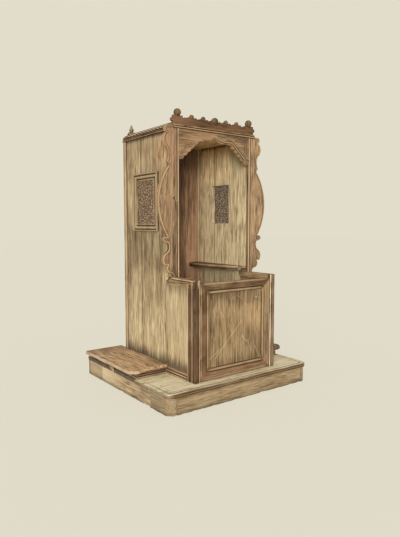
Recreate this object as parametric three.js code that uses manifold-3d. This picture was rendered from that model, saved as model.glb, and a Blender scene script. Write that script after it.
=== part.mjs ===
// Confessional booth: a tall wooden cabin with a half door, on a raised platform.
// A penitent kneels at either side and speaks through a pierced grille in the side wall.
// Millimetres. X runs across the front, Y from the front to the back, Z up.
// The origin is on the floor, under the middle of the platform.
import * as THREE from 'three';
import { mergeVertices } from 'three/addons/utils/BufferGeometryUtils.js';
import Module from 'manifold-3d';

const wasm = await Module();
wasm.setup();

// Fits
const MITRE_GAP = 0.3;
const GROOVE_GAP = 0.3;
const RUNNING_GAP = 0.3;

// Platform
const PLATFORM_WIDTH = 1362;
const PLATFORM_DEPTH = 1264;
const PLATFORM_HEIGHT = 150;
const DECK_THICKNESS = 28;
const NOSING_OVERHANG = 13;
const FASCIA_THICKNESS = 28;
const CORNER_BLOCK_WIDTH = 66;
const CORNER_BLOCK_LENGTH = 242;
const CORNER_BLOCK_FLAT = 6; // front face left beside the rounded corner
const BEARER_WIDTH = 70;

// Kneelers
const KNEELER_OVERHANG = 57; // out from the platform
const KNEELER_LENGTH = 760;
const KNEELER_THICKNESS = 30;
const KNEELER_CORNER_RADIUS = 75;
const KNEELER_NOSING = 20;
const KNEELER_SETBACK = 77; // left kneeler's front, behind the upper front
const RIGHT_KNEELER_FORWARD = 120; // right kneeler's front, ahead of the left one's
const RISER_INSET = 12; // in from the platform's side
const RISER_HEIGHT = 45;
const STRUT_THICKNESS = 24;
const STRUT_WIDTH = 22;
const STRUT_DROP = 80; // below the kneeler board
const STRUT_MARGIN = 11; // its top in from the kneeler's outer edge
const STRUT_SETBACK = 350; // behind the kneeler's front edge

// Booth carcass
const BOOTH_WIDTH = 790;
const FRONT_MARGIN = 95; // platform front to the lower front
const REAR_MARGIN = 137; // rear posts to the platform rear
const LEDGE_DEPTH = 265; // lower front to the upper front
const LEDGE_HEIGHT = 748; // above the deck
const WALL_HEIGHT = 1835; // above the deck
const SIDE_THICKNESS = 32;
const REAR_BOARD_WIDTH = 242;
const REAR_POST_WIDTH = 40;
const REAR_POST_DEPTH = 59;
const BACK_THICKNESS = 25;
const FRONT_FOOT = 85; // how far the front side board stands on the ledge
const CORNER_POST_WIDTH = 48;
const CORNER_POST_LENGTH = 92;
const JAMB_THICKNESS = 30;
const REED_DEPTH = 4;
const FRONT_REEDS = 2;
const SIDE_REEDS = 4;

// Ledge cap
const LEDGE_THICKNESS = 60;
const LEDGE_INNER_THICKNESS = 42;
const LEDGE_OVERHANG = 10;
const LEDGE_FILLET = 8;
const LEDGE_BEAD = 9;
const LEDGE_END_SLOPE = 90; // how far its top edge stops short at the rear

// Speaking grilles
const GRILLE_HEIGHT = 1320; // middle of the grille, above the deck
const GRILLE_SETBACK = 381; // middle of the grille, ahead of the rear
const GRILLE_OPENING_WIDTH = 230;
const GRILLE_OPENING_HEIGHT = 334;
const GRILLE_SIGHT_WIDTH = 253;
const GRILLE_SIGHT_HEIGHT = 343;
const GRILLE_BORDER = 56;
const GRILLE_LIP = 11; // flat outer part of the border
const GRILLE_FRAME_THICKNESS = 22;
const GRILLE_EDGE_THICKNESS = 11; // at the sight opening
const GRILLE_PLATE_LAP = 12;
const GRILLE_PLATE_THICKNESS = 4;
const PIERCING_PITCH = 34;
const PIERCING_RADIUS = 11;

// Roof and cornice
const ROOF_THICKNESS = 25;
const CORNICE_PROJECTION = 20;
const CORNICE_RISE = 36; // above the roof boards
const CORNICE_COVER = 72; // over the roof boards
const CORNICE_BEVEL = 22; // how far the slope runs in over the wall
const CORNICE_BEAD = 15;
const FINIAL_PLINTH = 48;
const FINIAL_PLINTH_HEIGHT = 10;
const FINIAL_HEIGHT = 84;
const FINIAL_RADIUS = 19;

// Upper front
const FRONT_THICKNESS = 26;
const FRONT_RISE = 7; // front boards above the roof boards
const OPENING_WIDTH = 696;
const ARCH_APEX_DROP = 49; // below the top of the front boards
const ARCH_SHOULDER_DROP = 93;
const ARCH_FOOT_DROP = 241;
const ARCH_CUSP_WIDTH = 170;
const ARCH_SHOULDER_WIDTH = 336;
const ARCH_FOOT_WIDTH = 18;
const ARCH_SCALLOPS = 5;
const ARCH_SCALLOP_DEPTH = 7;
const HEADER_OVERHANG = 5; // past the booth's sides
const HEADER_HEIGHT = 26;
const HEADER_PROJECTION = 16;
const HEADER_LAP = 4; // over the crest
const CREST_HEIGHT = 57;
const CREST_LOBE_RADIUS = 15;
const CREST_END_STEP = 44; // outer ball in from the crest's end
const CREST_BALL_GAP = 112; // centre ball to the next small ball
const SMALL_BALL_GAP = 110; // between the two small balls
const BIG_BALL_RADIUS = 28;
const SMALL_BALL_RADIUS = 18;
const BALL_SEAT = 8; // how far a ball is let into its hump
const HUMP_HEIGHT = 8;

// Wing boards: points of the edge, out from the booth side and up from the ledge or, from the cusp on,
// down from the top
const WING_FOOT = [[0, 0], [12, 27], [38, 37]];
const WING_SMALL_LOBE = [[60, 60], [50, 97]];
const WING_LOBE_HEEL = [81, 96];
const WING_LOBE = [[95, 136], [61, 189]];
const WING_COVE = [[41, 226], [53, 262]];
const WING_CURL_UNDER = [[80, 266], [97, 284]];
const WING_CURL_TOP = [[78, 304], [53, 303]];
const WING_BULGE = 134; // widest reach of the large bulge
const WING_CUSP = [[46, 279], [58, 265]];
const WING_BULGE_TOP = [40, 292];
const WING_UPPER_COVE = [[44, 216], [56, 163]];
const WING_UPPER_LOBE = [[87, 110], [60, 56]];
const WING_TOP_LOBE = [[73, 30], [49, 8]];
const WING_NECK = [[28, 9], [11, 0]];

// Arm shelves
const ARM_HEIGHT = 795; // top, above the deck
const ARM_THICKNESS = 38;
const ARM_REAR_WIDTH = 110;
const ARM_BOW_WIDTH = 150;
const ARM_NOSE_WIDTH = 88;
const ARM_NECK_WIDTH = 45;
const ARM_NECK_LENGTH = 66;
const ARM_NOSE_LENGTH = 44;

// Bench
const SEAT_HEIGHT = 455; // top, above the deck
const SEAT_DEPTH = 376;
const SEAT_THICKNESS = 30;
const SEAT_OVERHANG = 25;
const SEAT_FRONT_THICKNESS = 25;
const CLEAT_SIZE = 30;

// Half door
const DOOR_CLEARANCE = 10; // above the deck
const DOOR_TOP_DROP = 28; // below the ledge
const DOOR_GAP = 2;
const HINGE_GAP = 5;
const DOOR_SETBACK = 4; // behind the corner posts' front
const DOOR_THICKNESS = 32;
const DOOR_MEMBER_WIDTH = 80;
const DOOR_FLAT_WIDTH = 44;
const DOOR_QUIRK_DEPTH = 6;
const DOOR_BEAD_WIDTH = 10;
const PANEL_THICKNESS = 10;
const PANEL_INSET = 6; // ahead of the door's back
const PANEL_TONGUE = 9;

// Hinges
const HINGE_LENGTH = 80;
const HINGE_KNUCKLE_RADIUS = 5;
const HINGE_PIN_RADIUS = 2.5;
const HINGE_LEAF_THICKNESS = 1.8;
const HINGE_LEAF_WIDTH = 26;
const HINGE_LEAF_CLEARANCE = 1; // behind the other leaf's knuckles
const HINGE_AXIS_AHEAD = 8; // of the corner posts' front
const HINGE_INSET = 120; // hinge middle in from the door's top and bottom

// Latch
const KNOB_INSET = 127; // in from the door's free edge
const KNOB_DROP = 145; // below the door's top
const KNOB_RADIUS = 14;
const KNOB_LENGTH = 30;
const ROSE_RADIUS = 16;
const ROSE_THICKNESS = 4;
const SPINDLE_RADIUS = 4;
const BAR_LENGTH = 138; // spindle to tip
const BAR_TAIL = 20;
const BAR_WIDTH = 28;
const BAR_THICKNESS = 14;
const BAR_CLEARANCE = 2; // behind the door

// Facets on round stretches
const ARC_STEPS = 7;
const TURNED_STEPS = 16;
const BALL_STEPS = 14;
const BALL_RINGS = 9;

// Places that several pieces share
const platformX = PLATFORM_WIDTH / 2;
const platformY = PLATFORM_DEPTH / 2;
const deckZ = PLATFORM_HEIGHT;
const deckUnderZ = deckZ - DECK_THICKNESS;
const boothX = BOOTH_WIDTH / 2;
const innerX = boothX - SIDE_THICKNESS;
const openingX = OPENING_WIDTH / 2;
const lowerFrontY = FRONT_MARGIN - platformY;
const upperFrontY = lowerFrontY + LEDGE_DEPTH;
const frontBackY = upperFrontY + FRONT_THICKNESS;
const rearY = platformY - REAR_MARGIN;
const backY = rearY - REAR_POST_DEPTH;
const sideJointY = backY - REAR_BOARD_WIDTH;
const footY = frontBackY + FRONT_FOOT;
const wallTopZ = deckZ + WALL_HEIGHT;
const ledgeZ = deckZ + LEDGE_HEIGHT;
const ledgeUnderZ = ledgeZ - LEDGE_THICKNESS;
const roofZ = wallTopZ + ROOF_THICKNESS;
const corniceZ = roofZ + CORNICE_RISE;
const frontTopZ = roofZ + FRONT_RISE;
const kneelerFrontY = upperFrontY + KNEELER_SETBACK;
const deckJointY = kneelerFrontY + KNEELER_NOSING;
const riserTopZ = deckZ + RISER_HEIGHT;
const grilleY = rearY - GRILLE_SETBACK;
const grilleZ = deckZ + GRILLE_HEIGHT;
const jambX = boothX - CORNER_POST_WIDTH;
const jambBackY = lowerFrontY + JAMB_THICKNESS;
const postRearY = lowerFrontY + CORNER_POST_LENGTH;
const doorLeftX = HINGE_GAP - jambX;
const doorRightX = jambX - DOOR_GAP;
const doorBottomZ = deckZ + DOOR_CLEARANCE;
const doorTopZ = ledgeZ - DOOR_TOP_DROP;
const doorFrontY = lowerFrontY + DOOR_SETBACK;
const doorBackY = doorFrontY + DOOR_THICKNESS;
const panelBackY = doorBackY - PANEL_INSET;
const panelFrontY = panelBackY - PANEL_THICKNESS;
const knobX = doorRightX - KNOB_INSET;
const knobZ = doorTopZ - KNOB_DROP;
const barFrontY = doorBackY + BAR_CLEARANCE;
const barBackY = barFrontY + BAR_THICKNESS;

// Finishes
const woods = {
  tan: [0.66, 0.54, 0.39],
  brown: [0.5, 0.38, 0.26],
  pale: [0.78, 0.68, 0.53],
  russet: [0.6, 0.46, 0.33],
};

function finish([r, g, b], roughness, metalness) {
  return new THREE.MeshStandardMaterial({ color: new THREE.Color(r, g, b), roughness, metalness });
}

const wood = (name) => finish(woods[name], 0.7, 0);
const iron = () => finish([0.2, 0.18, 0.16], 0.5, 1);
const piercedTin = () => finish([0.34, 0.27, 0.21], 0.6, 0.6);

// An outline drawn as straight lines and as arcs through a middle point.
class Outline {
  constructor(u, v) {
    this.points = [new THREE.Vector2(u, v)];
  }

  line(u, v) {
    this.points.push(new THREE.Vector2(u, v));
    return this;
  }

  arc([midU, midV], [endU, endV], steps = ARC_STEPS) {
    const start = this.points.at(-1);
    const a = midU - start.x;
    const b = midV - start.y;
    const c = endU - start.x;
    const d = endV - start.y;
    const twice = 2 * (a * d - b * c);
    const centreU = (d * (a * a + b * b) - b * (c * c + d * d)) / twice;
    const centreV = (a * (c * c + d * d) - c * (a * a + b * b)) / twice;
    const radius = Math.hypot(centreU, centreV);
    const first = Math.atan2(-centreV, -centreU);
    let sweep = Math.atan2(d - centreV, c - centreU) - first;
    if (twice > 0 && sweep < 0) sweep += 2 * Math.PI;
    if (twice < 0 && sweep > 0) sweep -= 2 * Math.PI;
    for (let i = 1; i < steps; i += 1) {
      const angle = first + (sweep * i) / steps;
      this.line(start.x + centreU + radius * Math.cos(angle), start.y + centreV + radius * Math.sin(angle));
    }
    return this.line(endU, endV);
  }

  shape() {
    return new THREE.Shape(this.points);
  }
}

function rectangle(u0, u1, v0, v1) {
  return new Outline(u0, v0).line(u1, v0).line(u1, v1).line(u0, v1);
}

// A closed geometry whose faces point outwards, whichever way its outline ran.
function facingOut(geometry) {
  geometry.deleteAttribute('normal');
  geometry.deleteAttribute('uv');
  const merged = mergeVertices(geometry);
  const place = merged.getAttribute('position');
  const index = merged.getIndex();
  const a = new THREE.Vector3();
  const b = new THREE.Vector3();
  const c = new THREE.Vector3();
  let volume = 0;
  for (let i = 0; i < index.count; i += 3) {
    a.fromBufferAttribute(place, index.getX(i));
    b.fromBufferAttribute(place, index.getX(i + 1));
    c.fromBufferAttribute(place, index.getX(i + 2));
    volume += a.dot(b.cross(c));
  }
  if (volume < 0) {
    for (let i = 0; i < index.count; i += 3) {
      const second = index.getX(i + 1);
      index.setX(i + 1, index.getX(i + 2));
      index.setX(i + 2, second);
    }
  }
  return merged;
}

// An outline carried along a straight run; each end may slope with the outline's first coordinate.
function run(shape, low, high, place, lowSlope = 0, highSlope = 0) {
  const geometry = new THREE.ExtrudeGeometry(shape, { depth: 1, bevelEnabled: false });
  const position = geometry.getAttribute('position');
  for (let i = 0; i < position.count; i += 1) {
    const u = position.getX(i);
    const v = position.getY(i);
    const s = position.getZ(i) > 0.5 ? high + highSlope * u : low + lowSlope * u;
    position.setXYZ(i, ...place(u, v, s));
  }
  return facingOut(geometry);
}

const alongX = (u, v, s) => [s, u, v];
const alongY = (u, v, s) => [u, s, v];
const alongZ = (u, v, s) => [u, v, s];

function board(x0, x1, y0, y1, z0, z1) {
  return run(rectangle(x0, x1, y0, y1).shape(), z0, z1, alongZ);
}

function turned(profile, steps = TURNED_STEPS) {
  const geometry = new THREE.LatheGeometry(profile.points, steps);
  geometry.rotateX(Math.PI / 2);
  return facingOut(geometry);
}

function rod(radius, z0, z1, steps = TURNED_STEPS) {
  return turned(new Outline(0, z0).line(radius, z0).line(radius, z1).line(0, z1), steps);
}

function solidOf(geometry) {
  const vertProperties = new Float32Array(geometry.getAttribute('position').array);
  const triVerts = new Uint32Array(geometry.getIndex().array);
  return new wasm.Manifold(new wasm.Mesh({ numProp: 3, vertProperties, triVerts }));
}

function geometryOf(solid) {
  const mesh = solid.getMesh();
  const geometry = new THREE.BufferGeometry();
  geometry.setAttribute('position', new THREE.BufferAttribute(new Float32Array(mesh.vertProperties), 3));
  geometry.setIndex(new THREE.BufferAttribute(new Uint32Array(mesh.triVerts), 1));
  return geometry;
}

function join(first, ...others) {
  return geometryOf(others.reduce((solid, other) => solid.add(solidOf(other)), solidOf(first)));
}

function cut(first, ...others) {
  return geometryOf(others.reduce((solid, other) => solid.subtract(solidOf(other)), solidOf(first)));
}

const booth = new THREE.Group();

function add(name, geometry, material, position = [0, 0, 0]) {
  geometry.computeVertexNormals();
  const mesh = new THREE.Mesh(geometry, material);
  mesh.name = name;
  mesh.position.set(...position);
  booth.add(mesh);
}

const sides = [['left', -1], ['right', 1]];

function platform() {
  const insideY = platformY - FASCIA_THICKNESS;
  const blockX = platformX - CORNER_BLOCK_WIDTH;
  const blockY = CORNER_BLOCK_LENGTH - platformY;
  const radius = CORNER_BLOCK_WIDTH - CORNER_BLOCK_FLAT;
  add('fascia_front', board(-blockX, blockX, -platformY, -insideY, 0, deckUnderZ), wood('tan'));
  add('fascia_rear', board(-platformX, platformX, insideY, platformY, 0, deckUnderZ), wood('tan'));
  for (const [name, side] of sides) {
    const outer = side * platformX;
    const inner = side * (platformX - FASCIA_THICKNESS);
    add(`fascia_${name}`, board(inner, outer, blockY, insideY, 0, deckUnderZ), wood('tan'));
    const block = new Outline(side * blockX, blockY)
      .line(side * blockX, -platformY)
      .line(side * (platformX - radius), -platformY)
      .arc(...roundedCorner(side, platformX, platformY, radius))
      .line(outer, blockY);
    add(`corner_block_${name}`, run(block.shape(), 0, deckUnderZ, alongZ), wood('tan'));
  }
  const bearerX = BEARER_WIDTH / 2;
  add('platform_bearer', board(-bearerX, bearerX, -insideY, insideY, 0, deckUnderZ), wood('tan'));
  deck(radius + NOSING_OVERHANG);
}

// The middle and end of a quarter circle that turns a front corner from the front edge to the side edge.
function roundedCorner(side, x, y, radius) {
  const diagonal = radius * (1 - Math.SQRT1_2);
  return [[side * (x - diagonal), diagonal - y], [side * x, radius - y]];
}

// The front deck board has a nosing on three sides; the rear one is flush with the sides, under the kneelers.
function deck(radius) {
  const nosingX = platformX + NOSING_OVERHANG;
  const nosingY = platformY + NOSING_OVERHANG;
  const [leftMiddle] = roundedCorner(-1, nosingX, nosingY, radius);
  const front = new Outline(nosingX, deckJointY)
    .line(-nosingX, deckJointY)
    .line(-nosingX, radius - nosingY)
    .arc(leftMiddle, [radius - nosingX, -nosingY])
    .line(nosingX - radius, -nosingY)
    .arc(...roundedCorner(1, nosingX, nosingY, radius));
  add('deck_front', run(front.shape(), deckUnderZ, deckZ, alongZ), wood('pale'));
  add('deck_rear', board(-platformX, platformX, deckJointY, nosingY, deckUnderZ, deckZ), wood('pale'));
}

function kneelers() {
  const outer = platformX + KNEELER_OVERHANG;
  const boardTopZ = riserTopZ + KNEELER_THICKNESS;
  const footZ = riserTopZ - STRUT_DROP;
  const diagonal = KNEELER_CORNER_RADIUS * (1 - Math.SQRT1_2);
  for (const [name, side] of sides) {
    const frontY = side > 0 ? kneelerFrontY - RIGHT_KNEELER_FORWARD : kneelerFrontY;
    const rearY = frontY + KNEELER_LENGTH;
    const cornerMiddle = [side * (outer - diagonal), frontY + diagonal];
    const plan = new Outline(side * boothX, rearY)
      .line(side * boothX, frontY)
      .line(side * (outer - KNEELER_CORNER_RADIUS), frontY)
      .arc(cornerMiddle, [side * outer, frontY + KNEELER_CORNER_RADIUS])
      .line(side * outer, rearY);
    add(`kneeler_board_${name}`, run(plan.shape(), riserTopZ, boardTopZ, alongZ), wood('russet'));
    const riserX = side * (platformX - RISER_INSET);
    const riserY = [frontY + KNEELER_NOSING, rearY - KNEELER_NOSING];
    add(`kneeler_riser_${name}`, board(side * boothX, riserX, ...riserY, deckZ, riserTopZ), wood('russet'));
    const reach = side * (outer - STRUT_MARGIN);
    const strut = new Outline(side * platformX, footZ)
      .line(side * platformX, footZ + STRUT_WIDTH)
      .line(reach - side * STRUT_WIDTH, riserTopZ)
      .line(reach, riserTopZ);
    const strutY = frontY + STRUT_SETBACK;
    const strutRun = [strutY, strutY + STRUT_THICKNESS];
    add(`kneeler_strut_${name}`, run(strut.shape(), ...strutRun, alongY), wood('russet'));
  }
}

function sideWalls() {
  const openingY = GRILLE_OPENING_WIDTH / 2;
  const openingZ = GRILLE_OPENING_HEIGHT / 2;
  for (const [name, side] of sides) {
    const outer = side * boothX;
    const inner = side * innerX;
    const opening = board(
      side * (innerX - SIDE_THICKNESS), side * (boothX + SIDE_THICKNESS),
      grilleY - openingY, grilleY + openingY, grilleZ - openingZ, grilleZ + openingZ,
    );
    const postX = side * (boothX - REAR_POST_WIDTH);
    add(`rear_post_${name}`, board(postX, outer, backY, rearY, deckZ, wallTopZ), wood('tan'));
    const rear = board(inner, outer, sideJointY, backY, deckZ, wallTopZ);
    add(`side_rear_board_${name}`, cut(rear, opening), wood('tan'));
    const front = new Outline(sideJointY, deckZ)
      .line(sideJointY, wallTopZ)
      .line(frontBackY, wallTopZ)
      .line(frontBackY, ledgeZ)
      .line(footY, ledgeZ)
      .line(footY, deckZ);
    add(`side_front_board_${name}`, cut(run(front.shape(), inner, outer, alongX), opening), wood('tan'));
    const lower = board(inner, outer, postRearY, footY, deckZ, ledgeUnderZ);
    add(`lower_side_board_${name}`, lower, wood('tan'));
    add(`corner_post_${name}`, cornerPost(side), wood('brown'));
    add(`ledge_cap_${name}`, ledgeCap(side), wood('brown'));
  }
}

// An L in plan: a jamb for the door and a stile on the side, both faced with reeds.
function cornerPost(side) {
  const valleyY = lowerFrontY + REED_DEPTH;
  const frontReed = CORNER_POST_WIDTH / FRONT_REEDS;
  const sideReed = (postRearY - valleyY) / SIDE_REEDS;
  const plan = new Outline(side * jambX, valleyY);
  for (let i = 0; i < FRONT_REEDS; i += 1) {
    const start = jambX + i * frontReed;
    plan.arc([side * (start + frontReed / 2), lowerFrontY], [side * (start + frontReed), valleyY]);
  }
  for (let i = 0; i < SIDE_REEDS; i += 1) {
    const start = valleyY + i * sideReed;
    plan.arc([side * (boothX + REED_DEPTH), start + sideReed / 2], [side * boothX, start + sideReed]);
  }
  plan.line(side * innerX, postRearY).line(side * innerX, jambBackY).line(side * jambX, jambBackY);
  return run(plan.shape(), deckZ, ledgeUnderZ, alongZ);
}

// A moulded rail on top of the lower side board; its rear end slopes back from the top edge.
function ledgeCap(side) {
  const outer = boothX + LEDGE_OVERHANG;
  const innerZ = ledgeZ - LEDGE_INNER_THICKNESS;
  const coveZ = ledgeUnderZ + LEDGE_BEAD;
  const coveTopZ = ledgeZ - LEDGE_FILLET;
  const coveX = boothX + LEDGE_BEAD / 2;
  const section = new Outline(side * jambX, innerZ)
    .line(side * jambX, ledgeZ)
    .line(side * outer, ledgeZ)
    .line(side * outer, coveTopZ)
    .arc([side * (coveX + LEDGE_BEAD / 4), (coveZ + coveTopZ) / 2], [side * coveX, coveZ])
    .arc([side * (boothX + LEDGE_BEAD), ledgeUnderZ + LEDGE_BEAD / 2], [side * coveX, ledgeUnderZ])
    .line(side * innerX, ledgeUnderZ)
    .line(side * innerX, innerZ);
  const rail = run(section.shape(), lowerFrontY - LEDGE_OVERHANG, footY, alongY);
  const end = new Outline(footY, ledgeUnderZ)
    .line(footY - LEDGE_END_SLOPE, ledgeZ)
    .line(footY + LEDGE_END_SLOPE, ledgeZ)
    .line(footY + LEDGE_END_SLOPE, ledgeUnderZ);
  return cut(rail, run(end.shape(), side * boothX, side * (outer + LEDGE_OVERHANG), alongX));
}

function grilles() {
  const sightY = GRILLE_SIGHT_WIDTH / 2;
  const sightZ = GRILLE_SIGHT_HEIGHT / 2;
  const plateY = sightY + GRILLE_PLATE_LAP;
  const plateZ = sightZ + GRILLE_PLATE_LAP;
  for (const [name, side] of sides) {
    const plateX = boothX + GRILLE_PLATE_THICKNESS;
    const faceX = boothX + GRILLE_FRAME_THICKNESS;
    const frame = cut(
      grilleFrame(side, faceX),
      board(
        side * boothX, side * (plateX + GROOVE_GAP),
        grilleY - plateY - GROOVE_GAP, grilleY + plateY + GROOVE_GAP,
        grilleZ - plateZ - GROOVE_GAP, grilleZ + plateZ + GROOVE_GAP,
      ),
    );
    add(`grille_frame_${name}`, frame, wood('tan'));
    const sheet = rectangle(grilleY - plateY, grilleY + plateY, grilleZ - plateZ, grilleZ + plateZ).shape();
    sheet.holes = piercings();
    add(`grille_plate_${name}`, run(sheet, side * boothX, side * plateX, alongX), piercedTin());
  }
}

// Four mitred lengths glued into one frame: a raised outer lip, then a slope in to the sight opening.
function grilleFrame(side, faceX) {
  const edgeX = boothX + GRILLE_EDGE_THICKNESS;
  const flareX = faceX + GROOVE_GAP;
  const around = (border) => {
    const halfY = GRILLE_SIGHT_WIDTH / 2 + border;
    const halfZ = GRILLE_SIGHT_HEIGHT / 2 + border;
    return [grilleY - halfY, grilleY + halfY, grilleZ - halfZ, grilleZ + halfZ];
  };
  const slope = (right, top, x) => {
    const [y0, y1, z0, z1] = around(x === edgeX ? 0 : GRILLE_BORDER - GRILLE_LIP);
    return [side * x, right ? y1 : y0, top ? z1 : z0];
  };
  const blank = board(side * boothX, side * faceX, ...around(GRILLE_BORDER));
  const flare = run(rectangle(0, 1, 0, 1).shape(), edgeX, flareX, slope);
  const through = board(side * (boothX - SIDE_THICKNESS), side * (faceX + SIDE_THICKNESS), ...around(0));
  return cut(blank, flare, through);
}

// Diamond holes on a square pitch, filling the sight opening.
function piercings() {
  const holes = [];
  const columns = Math.floor((GRILLE_SIGHT_WIDTH - 2 * PIERCING_RADIUS) / PIERCING_PITCH) + 1;
  const rows = Math.floor((GRILLE_SIGHT_HEIGHT - 2 * PIERCING_RADIUS) / PIERCING_PITCH) + 1;
  for (let row = 0; row < rows; row += 1) {
    for (let column = 0; column < columns; column += 1) {
      const y = grilleY + (column - (columns - 1) / 2) * PIERCING_PITCH;
      const z = grilleZ + (row - (rows - 1) / 2) * PIERCING_PITCH;
      const diamond = new Outline(y - PIERCING_RADIUS, z)
        .line(y, z + PIERCING_RADIUS)
        .line(y + PIERCING_RADIUS, z)
        .line(y, z - PIERCING_RADIUS);
      holes.push(new THREE.Path(diamond.points));
    }
  }
  return holes;
}

// The side cornices stand out from the walls; the rear one is flush with the posts, to stand against a wall.
function roof() {
  const backX = boothX - REAR_POST_WIDTH;
  add('back_panel', board(-backX, backX, backY, backY + BACK_THICKNESS, deckZ, wallTopZ), wood('brown'));
  const roofRearY = rearY - CORNICE_PROJECTION;
  add('roof_boards', board(-boothX, boothX, frontBackY, roofRearY, wallTopZ, roofZ), wood('tan'));
  const section = corniceSection().shape();
  const leftward = (u, v, s) => [-boothX - u, s, v];
  const rightward = (u, v, s) => [boothX + u, s, v];
  const rearward = (u, v, s) => [s, roofRearY + u, v];
  const cornerX = boothX - MITRE_GAP;
  add('cornice_left', run(section, frontBackY, roofRearY, leftward, 0, 1), wood('brown'));
  add('cornice_right', run(section, frontBackY, roofRearY, rightward, 0, 1), wood('brown'));
  add('cornice_rear', run(section, -cornerX, cornerX, rearward, -1, 1), wood('brown'));
  const inset = (CORNICE_BEVEL + CORNICE_COVER) / 2;
  for (const [name, side] of sides) {
    add(`finial_${name}`, finial(), wood('brown'), [side * (boothX - inset), roofRearY - inset, corniceZ]);
  }
}

// Out from the wall and up: a bead, a fillet, then a slope in over the roof boards.
function corniceSection() {
  const beadZ = wallTopZ + CORNICE_BEAD;
  const filletX = CORNICE_PROJECTION - CORNICE_BEAD / 2;
  return new Outline(0, wallTopZ)
    .line(filletX, wallTopZ)
    .arc([CORNICE_PROJECTION, (wallTopZ + beadZ) / 2], [filletX, beadZ])
    .line(filletX, roofZ)
    .line(-CORNICE_BEVEL, corniceZ)
    .line(-CORNICE_COVER, corniceZ)
    .line(-CORNICE_COVER, roofZ)
    .line(0, roofZ);
}

function finial() {
  const half = FINIAL_PLINTH / 2;
  const neck = FINIAL_RADIUS / 2;
  const ringZ = FINIAL_PLINTH_HEIGHT + FINIAL_RADIUS / 2;
  const neckZ = ringZ + FINIAL_RADIUS / 2;
  const ballTopZ = FINIAL_HEIGHT - FINIAL_RADIUS;
  const profile = new Outline(0, FINIAL_PLINTH_HEIGHT / 2)
    .line(FINIAL_RADIUS, FINIAL_PLINTH_HEIGHT / 2)
    .line(FINIAL_RADIUS, ringZ)
    .line(neck, neckZ)
    .arc([FINIAL_RADIUS, (neckZ + ballTopZ) / 2], [neck / 2, ballTopZ])
    .arc([neck, (ballTopZ + FINIAL_HEIGHT) / 2], [0, FINIAL_HEIGHT], 5);
  return join(board(-half, half, -half, half, 0, FINIAL_PLINTH_HEIGHT), turned(profile));
}

function upperFront() {
  for (const [name, side] of sides) {
    add(`wing_${name}`, run(wing(side).shape(), upperFrontY, frontBackY, alongY), wood('tan'));
  }
  add('arch_valance', run(valance().shape(), upperFrontY, frontBackY, alongY), wood('tan'));
  add('header_moulding', headerMoulding(), wood('brown'));
  add('crest', crest(), wood('brown'));
}

// The lower scrolls are set out up from the ledge and the upper ones down from the top; the bulge joins them.
function wing(side) {
  const up = ([out, height]) => [side * (boothX + out), ledgeZ + height];
  const down = ([out, drop]) => [side * (boothX + out), frontTopZ - drop];
  const [bulgeX, bulgeLowZ] = up([WING_BULGE, WING_CURL_TOP[1][1]]);
  const bulgeHighZ = down(WING_BULGE_TOP)[1];
  return new Outline(side * openingX, frontTopZ)
    .line(side * openingX, ledgeZ)
    .line(...up(WING_FOOT[0]))
    .arc(...WING_FOOT.slice(1).map(up))
    .arc(...WING_SMALL_LOBE.map(up))
    .line(...up(WING_LOBE_HEEL))
    .arc(...WING_LOBE.map(up))
    .arc(...WING_COVE.map(up))
    .arc(...WING_CURL_UNDER.map(up))
    .arc(...WING_CURL_TOP.map(up))
    .arc([bulgeX, (bulgeLowZ + bulgeHighZ) / 2], down(WING_BULGE_TOP), 3 * ARC_STEPS)
    .arc(...WING_CUSP.map(down))
    .arc(...WING_UPPER_COVE.map(down))
    .arc(...WING_UPPER_LOBE.map(down))
    .arc(...WING_TOP_LOBE.map(down))
    .arc(...WING_NECK.map(down));
}

// A board hung between the wings: scalloped haunches, a shouldered arch and a pointed cusp in the middle.
function valance() {
  const footZ = frontTopZ - ARCH_FOOT_DROP;
  const shoulderZ = frontTopZ - ARCH_SHOULDER_DROP;
  const apexZ = frontTopZ - ARCH_APEX_DROP;
  const footX = openingX - ARCH_FOOT_WIDTH;
  const shoulderX = ARCH_SHOULDER_WIDTH / 2;
  const cuspX = ARCH_CUSP_WIDTH / 2;
  const haunchTopZ = shoulderZ - ARCH_SCALLOP_DEPTH;
  const outline = new Outline(-openingX, frontTopZ).line(-openingX, footZ).line(-footX, footZ);
  scallops(outline, [-footX, footZ], [-shoulderX, haunchTopZ], -1);
  outline
    .arc([-(shoulderX + cuspX) / 2, shoulderZ], [-cuspX, shoulderZ])
    .arc([-cuspX / 3, shoulderZ + (apexZ - shoulderZ) / 4], [0, apexZ])
    .arc([cuspX / 3, shoulderZ + (apexZ - shoulderZ) / 4], [cuspX, shoulderZ])
    .arc([(shoulderX + cuspX) / 2, shoulderZ], [shoulderX, haunchTopZ]);
  scallops(outline, [shoulderX, haunchTopZ], [footX, footZ], 1);
  return outline.line(openingX, footZ).line(openingX, frontTopZ);
}

// Equal small lobes that stand down and in from the straight line between two points.
function scallops(outline, [startX, startZ], [endX, endZ], side) {
  const stepX = (endX - startX) / ARCH_SCALLOPS;
  const stepZ = (endZ - startZ) / ARCH_SCALLOPS;
  const length = Math.hypot(stepX, stepZ);
  const bulgeX = (-Math.abs(stepZ) * side * ARCH_SCALLOP_DEPTH) / length;
  const bulgeZ = (-Math.abs(stepX) * ARCH_SCALLOP_DEPTH) / length;
  for (let i = 0; i < ARCH_SCALLOPS; i += 1) {
    const x = startX + i * stepX;
    const z = startZ + i * stepZ;
    const middle = [x + stepX / 2 + bulgeX, z + stepZ / 2 + bulgeZ];
    outline.arc(middle, [x + stepX, z + stepZ], 4);
  }
}

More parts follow.
